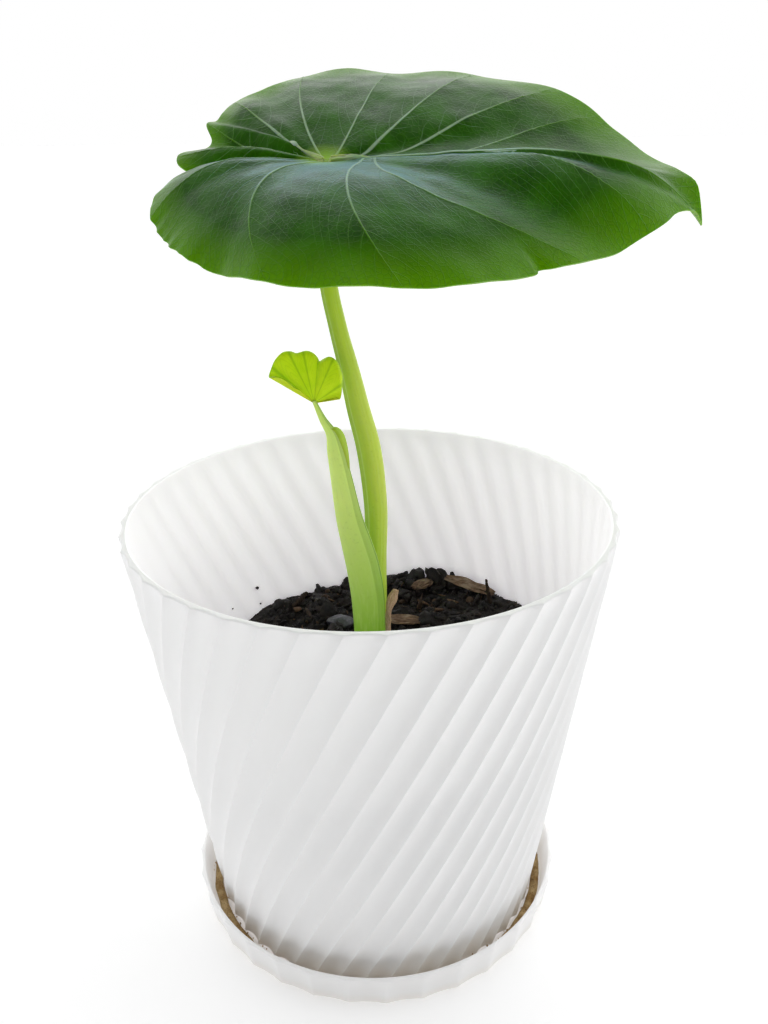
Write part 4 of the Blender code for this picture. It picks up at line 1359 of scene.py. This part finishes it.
# %% Twigs and the dried stub
TWIGS = {
    "twig_upright": ((50.5, 42.0, 1.4, 0.9), (49.6, 42.6, 6.0, 0.8), (48.4, 43.0, 12.5, 0.5)),
    "twig_left": ((-37.0, 52.0, 1.6, 0.9), (-33.5, 56.0, 2.6, 1.0), (-30.0, 60.0, 4.6, 0.8))}
DRIED_STUB = ((6.5, -1.8, 95.6, 1.3, 0.6), (6.2, -1.8, 112, 1.2, 0.6),
              (6.1, -1.8, 122, 1.0, 0.6), (6.8, -1.8, 127.5, 1.3, 0.6),
              (8.2, -1.7, 131, 1.5, 0.7), (9.3, -1.7, 134, 0.9, 0.5))


def gnarled(around, along, length):
    knots = 0.16 * np.sin(along * 1.9) * np.cos(around) + 0.1 * np.sin(along * 4.3 + around * 2)
    return 1 + knots + 0.08 * np.cos(around * 5 + along * 0.7)


def frayed(around, along, length):
    """Ribbed lengthwise, and torn into strands near the top."""
    torn = np.clip((along - length + 9) / 9, 0, 1)
    strands = 0.3 * np.cos(around * 6 + along * 0.4) + 0.25 * np.cos(around * 11)
    return 1 + 0.12 * np.cos(around * 9) + strands * torn * 0.8 + 0.1 * np.sin(along * 0.8)


for name, course in TWIGS.items():
    stations = [(x, y, soil_height(x * MM, y * MM) / MM + above, radius, radius)
                for x, y, above, radius in course]
    twig = add_stem(name + "_gnarled", stations, 16, 60, gnarled)
    keep(twig, name + "_gnarled", [dark_wood], [name], smooth=60)

stub = add_stem("stub", DRIED_STUB, 36, 120, frayed)
SPLINTER = ((7.2, -2.4, 121, 0.3, 0.2), (6.5, -2.9, 124, 0.55, 0.25),
            (6.0, -3.0, 127.5, 0.5, 0.22), (6.3, -3.0, 130.5, 0.3, 0.18))
stub = join([stub, add_stem("splinter", SPLINTER, 14, 40, frayed)])
keep(stub, "dried_stub_frayed", [straw], ["dried_sheath_stub"], smooth=50)

# %% Charcoal
CHARCOAL_LUMP = (-14.0, 33.5, 6.0, 4.2, 3.0)
x, y, half_x, half_y, half_z = CHARCOAL_LUMP
bpy.ops.object.select_all(action='DESELECT')
bpy.ops.mesh.primitive_ico_sphere_add(subdivisions=5, radius=1.0)
lump = bpy.context.active_object
rest_z = soil_height(x * MM, y * MM) / MM + half_z + 1.0
points = coordinates(lump)
facets = [Vector((rng.gauss(0, 1), rng.gauss(0, 1), rng.gauss(0, 1))).normalized()
          for _ in range(16)]
for point in points:
    spot = Vector(point)
    # Broken charcoal is cut by flat, conchoidal faces.
    cut = min(min(1.0, 0.82 / max(spot.dot(face), 0.01)) for face in facets)
    grain = 1 + 0.035 * noise.noise(spot * 6)
    point[:] = spot * cut * grain
points = points * (half_x, half_y, half_z) + (x, y, rest_z)
place_points(lump, points * MM)
char, shader, add = new_material("broken_charcoal", IOR=1.6)
ash = add("TexNoise", add("TexCoord", out="Object"), 1000 / 2.5, 5.0, 0.65)
grey = add("Mix", add("MapRange", ash, 0.45, 0.7), "24242B", "5C5C66", data_type='RGBA')
fill_in(shader, Base_Color=grey, Roughness=add("MapRange", ash, 0.3, 0.7, 0.25, 0.6),
        Normal=add("Bump", Distance=0.2 * MM, Height=ash))
keep(lump, "charcoal_broken", [char], ["charcoal_lump"], smooth=22)

# %% [markdown]
# ## Corm
# The swollen base that the leaves grow from is buried, so its CAD solid stays.
# It still gets a finish, for whoever lifts the plant out: brown, papery rings.

# %% Corm finish
husk, shader, add = new_material("papery_corm_skin", Roughness=0.8, Specular_IOR_Level=0.3)
where = add("TexCoord", out="Object")
waver = add("TexNoise", where, 1000 / 8, 4.0, 0.55)
height = add("Math", waver, 0.004, add("SeparateXYZ", where, out="Z"), operation='MULTIPLY_ADD')
rings = add("MapRange", add("Math", height, 0.0016, operation='PINGPONG'), 0.0, 0.0006, 1.0, 0.0)
patches = add("TexNoise", where, 1000 / 3, 4.0, 0.55)
skin = add("Mix", patches, "5A3A20", "8A6440", data_type='RGBA')
ring_share = add("Math", rings, 0.7, operation='MULTIPLY')
skin = add("Mix", ring_share, skin, "2C1B0E", data_type='RGBA')
fill_in(shader, Base_Color=skin, Normal=add("Bump", Distance=0.3 * MM, Height=rings))
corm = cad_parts["corm"]
corm.data.materials.clear()
corm.data.materials.append(husk)
print("corm: CAD solid kept,", len(corm.data.polygons), "faces")
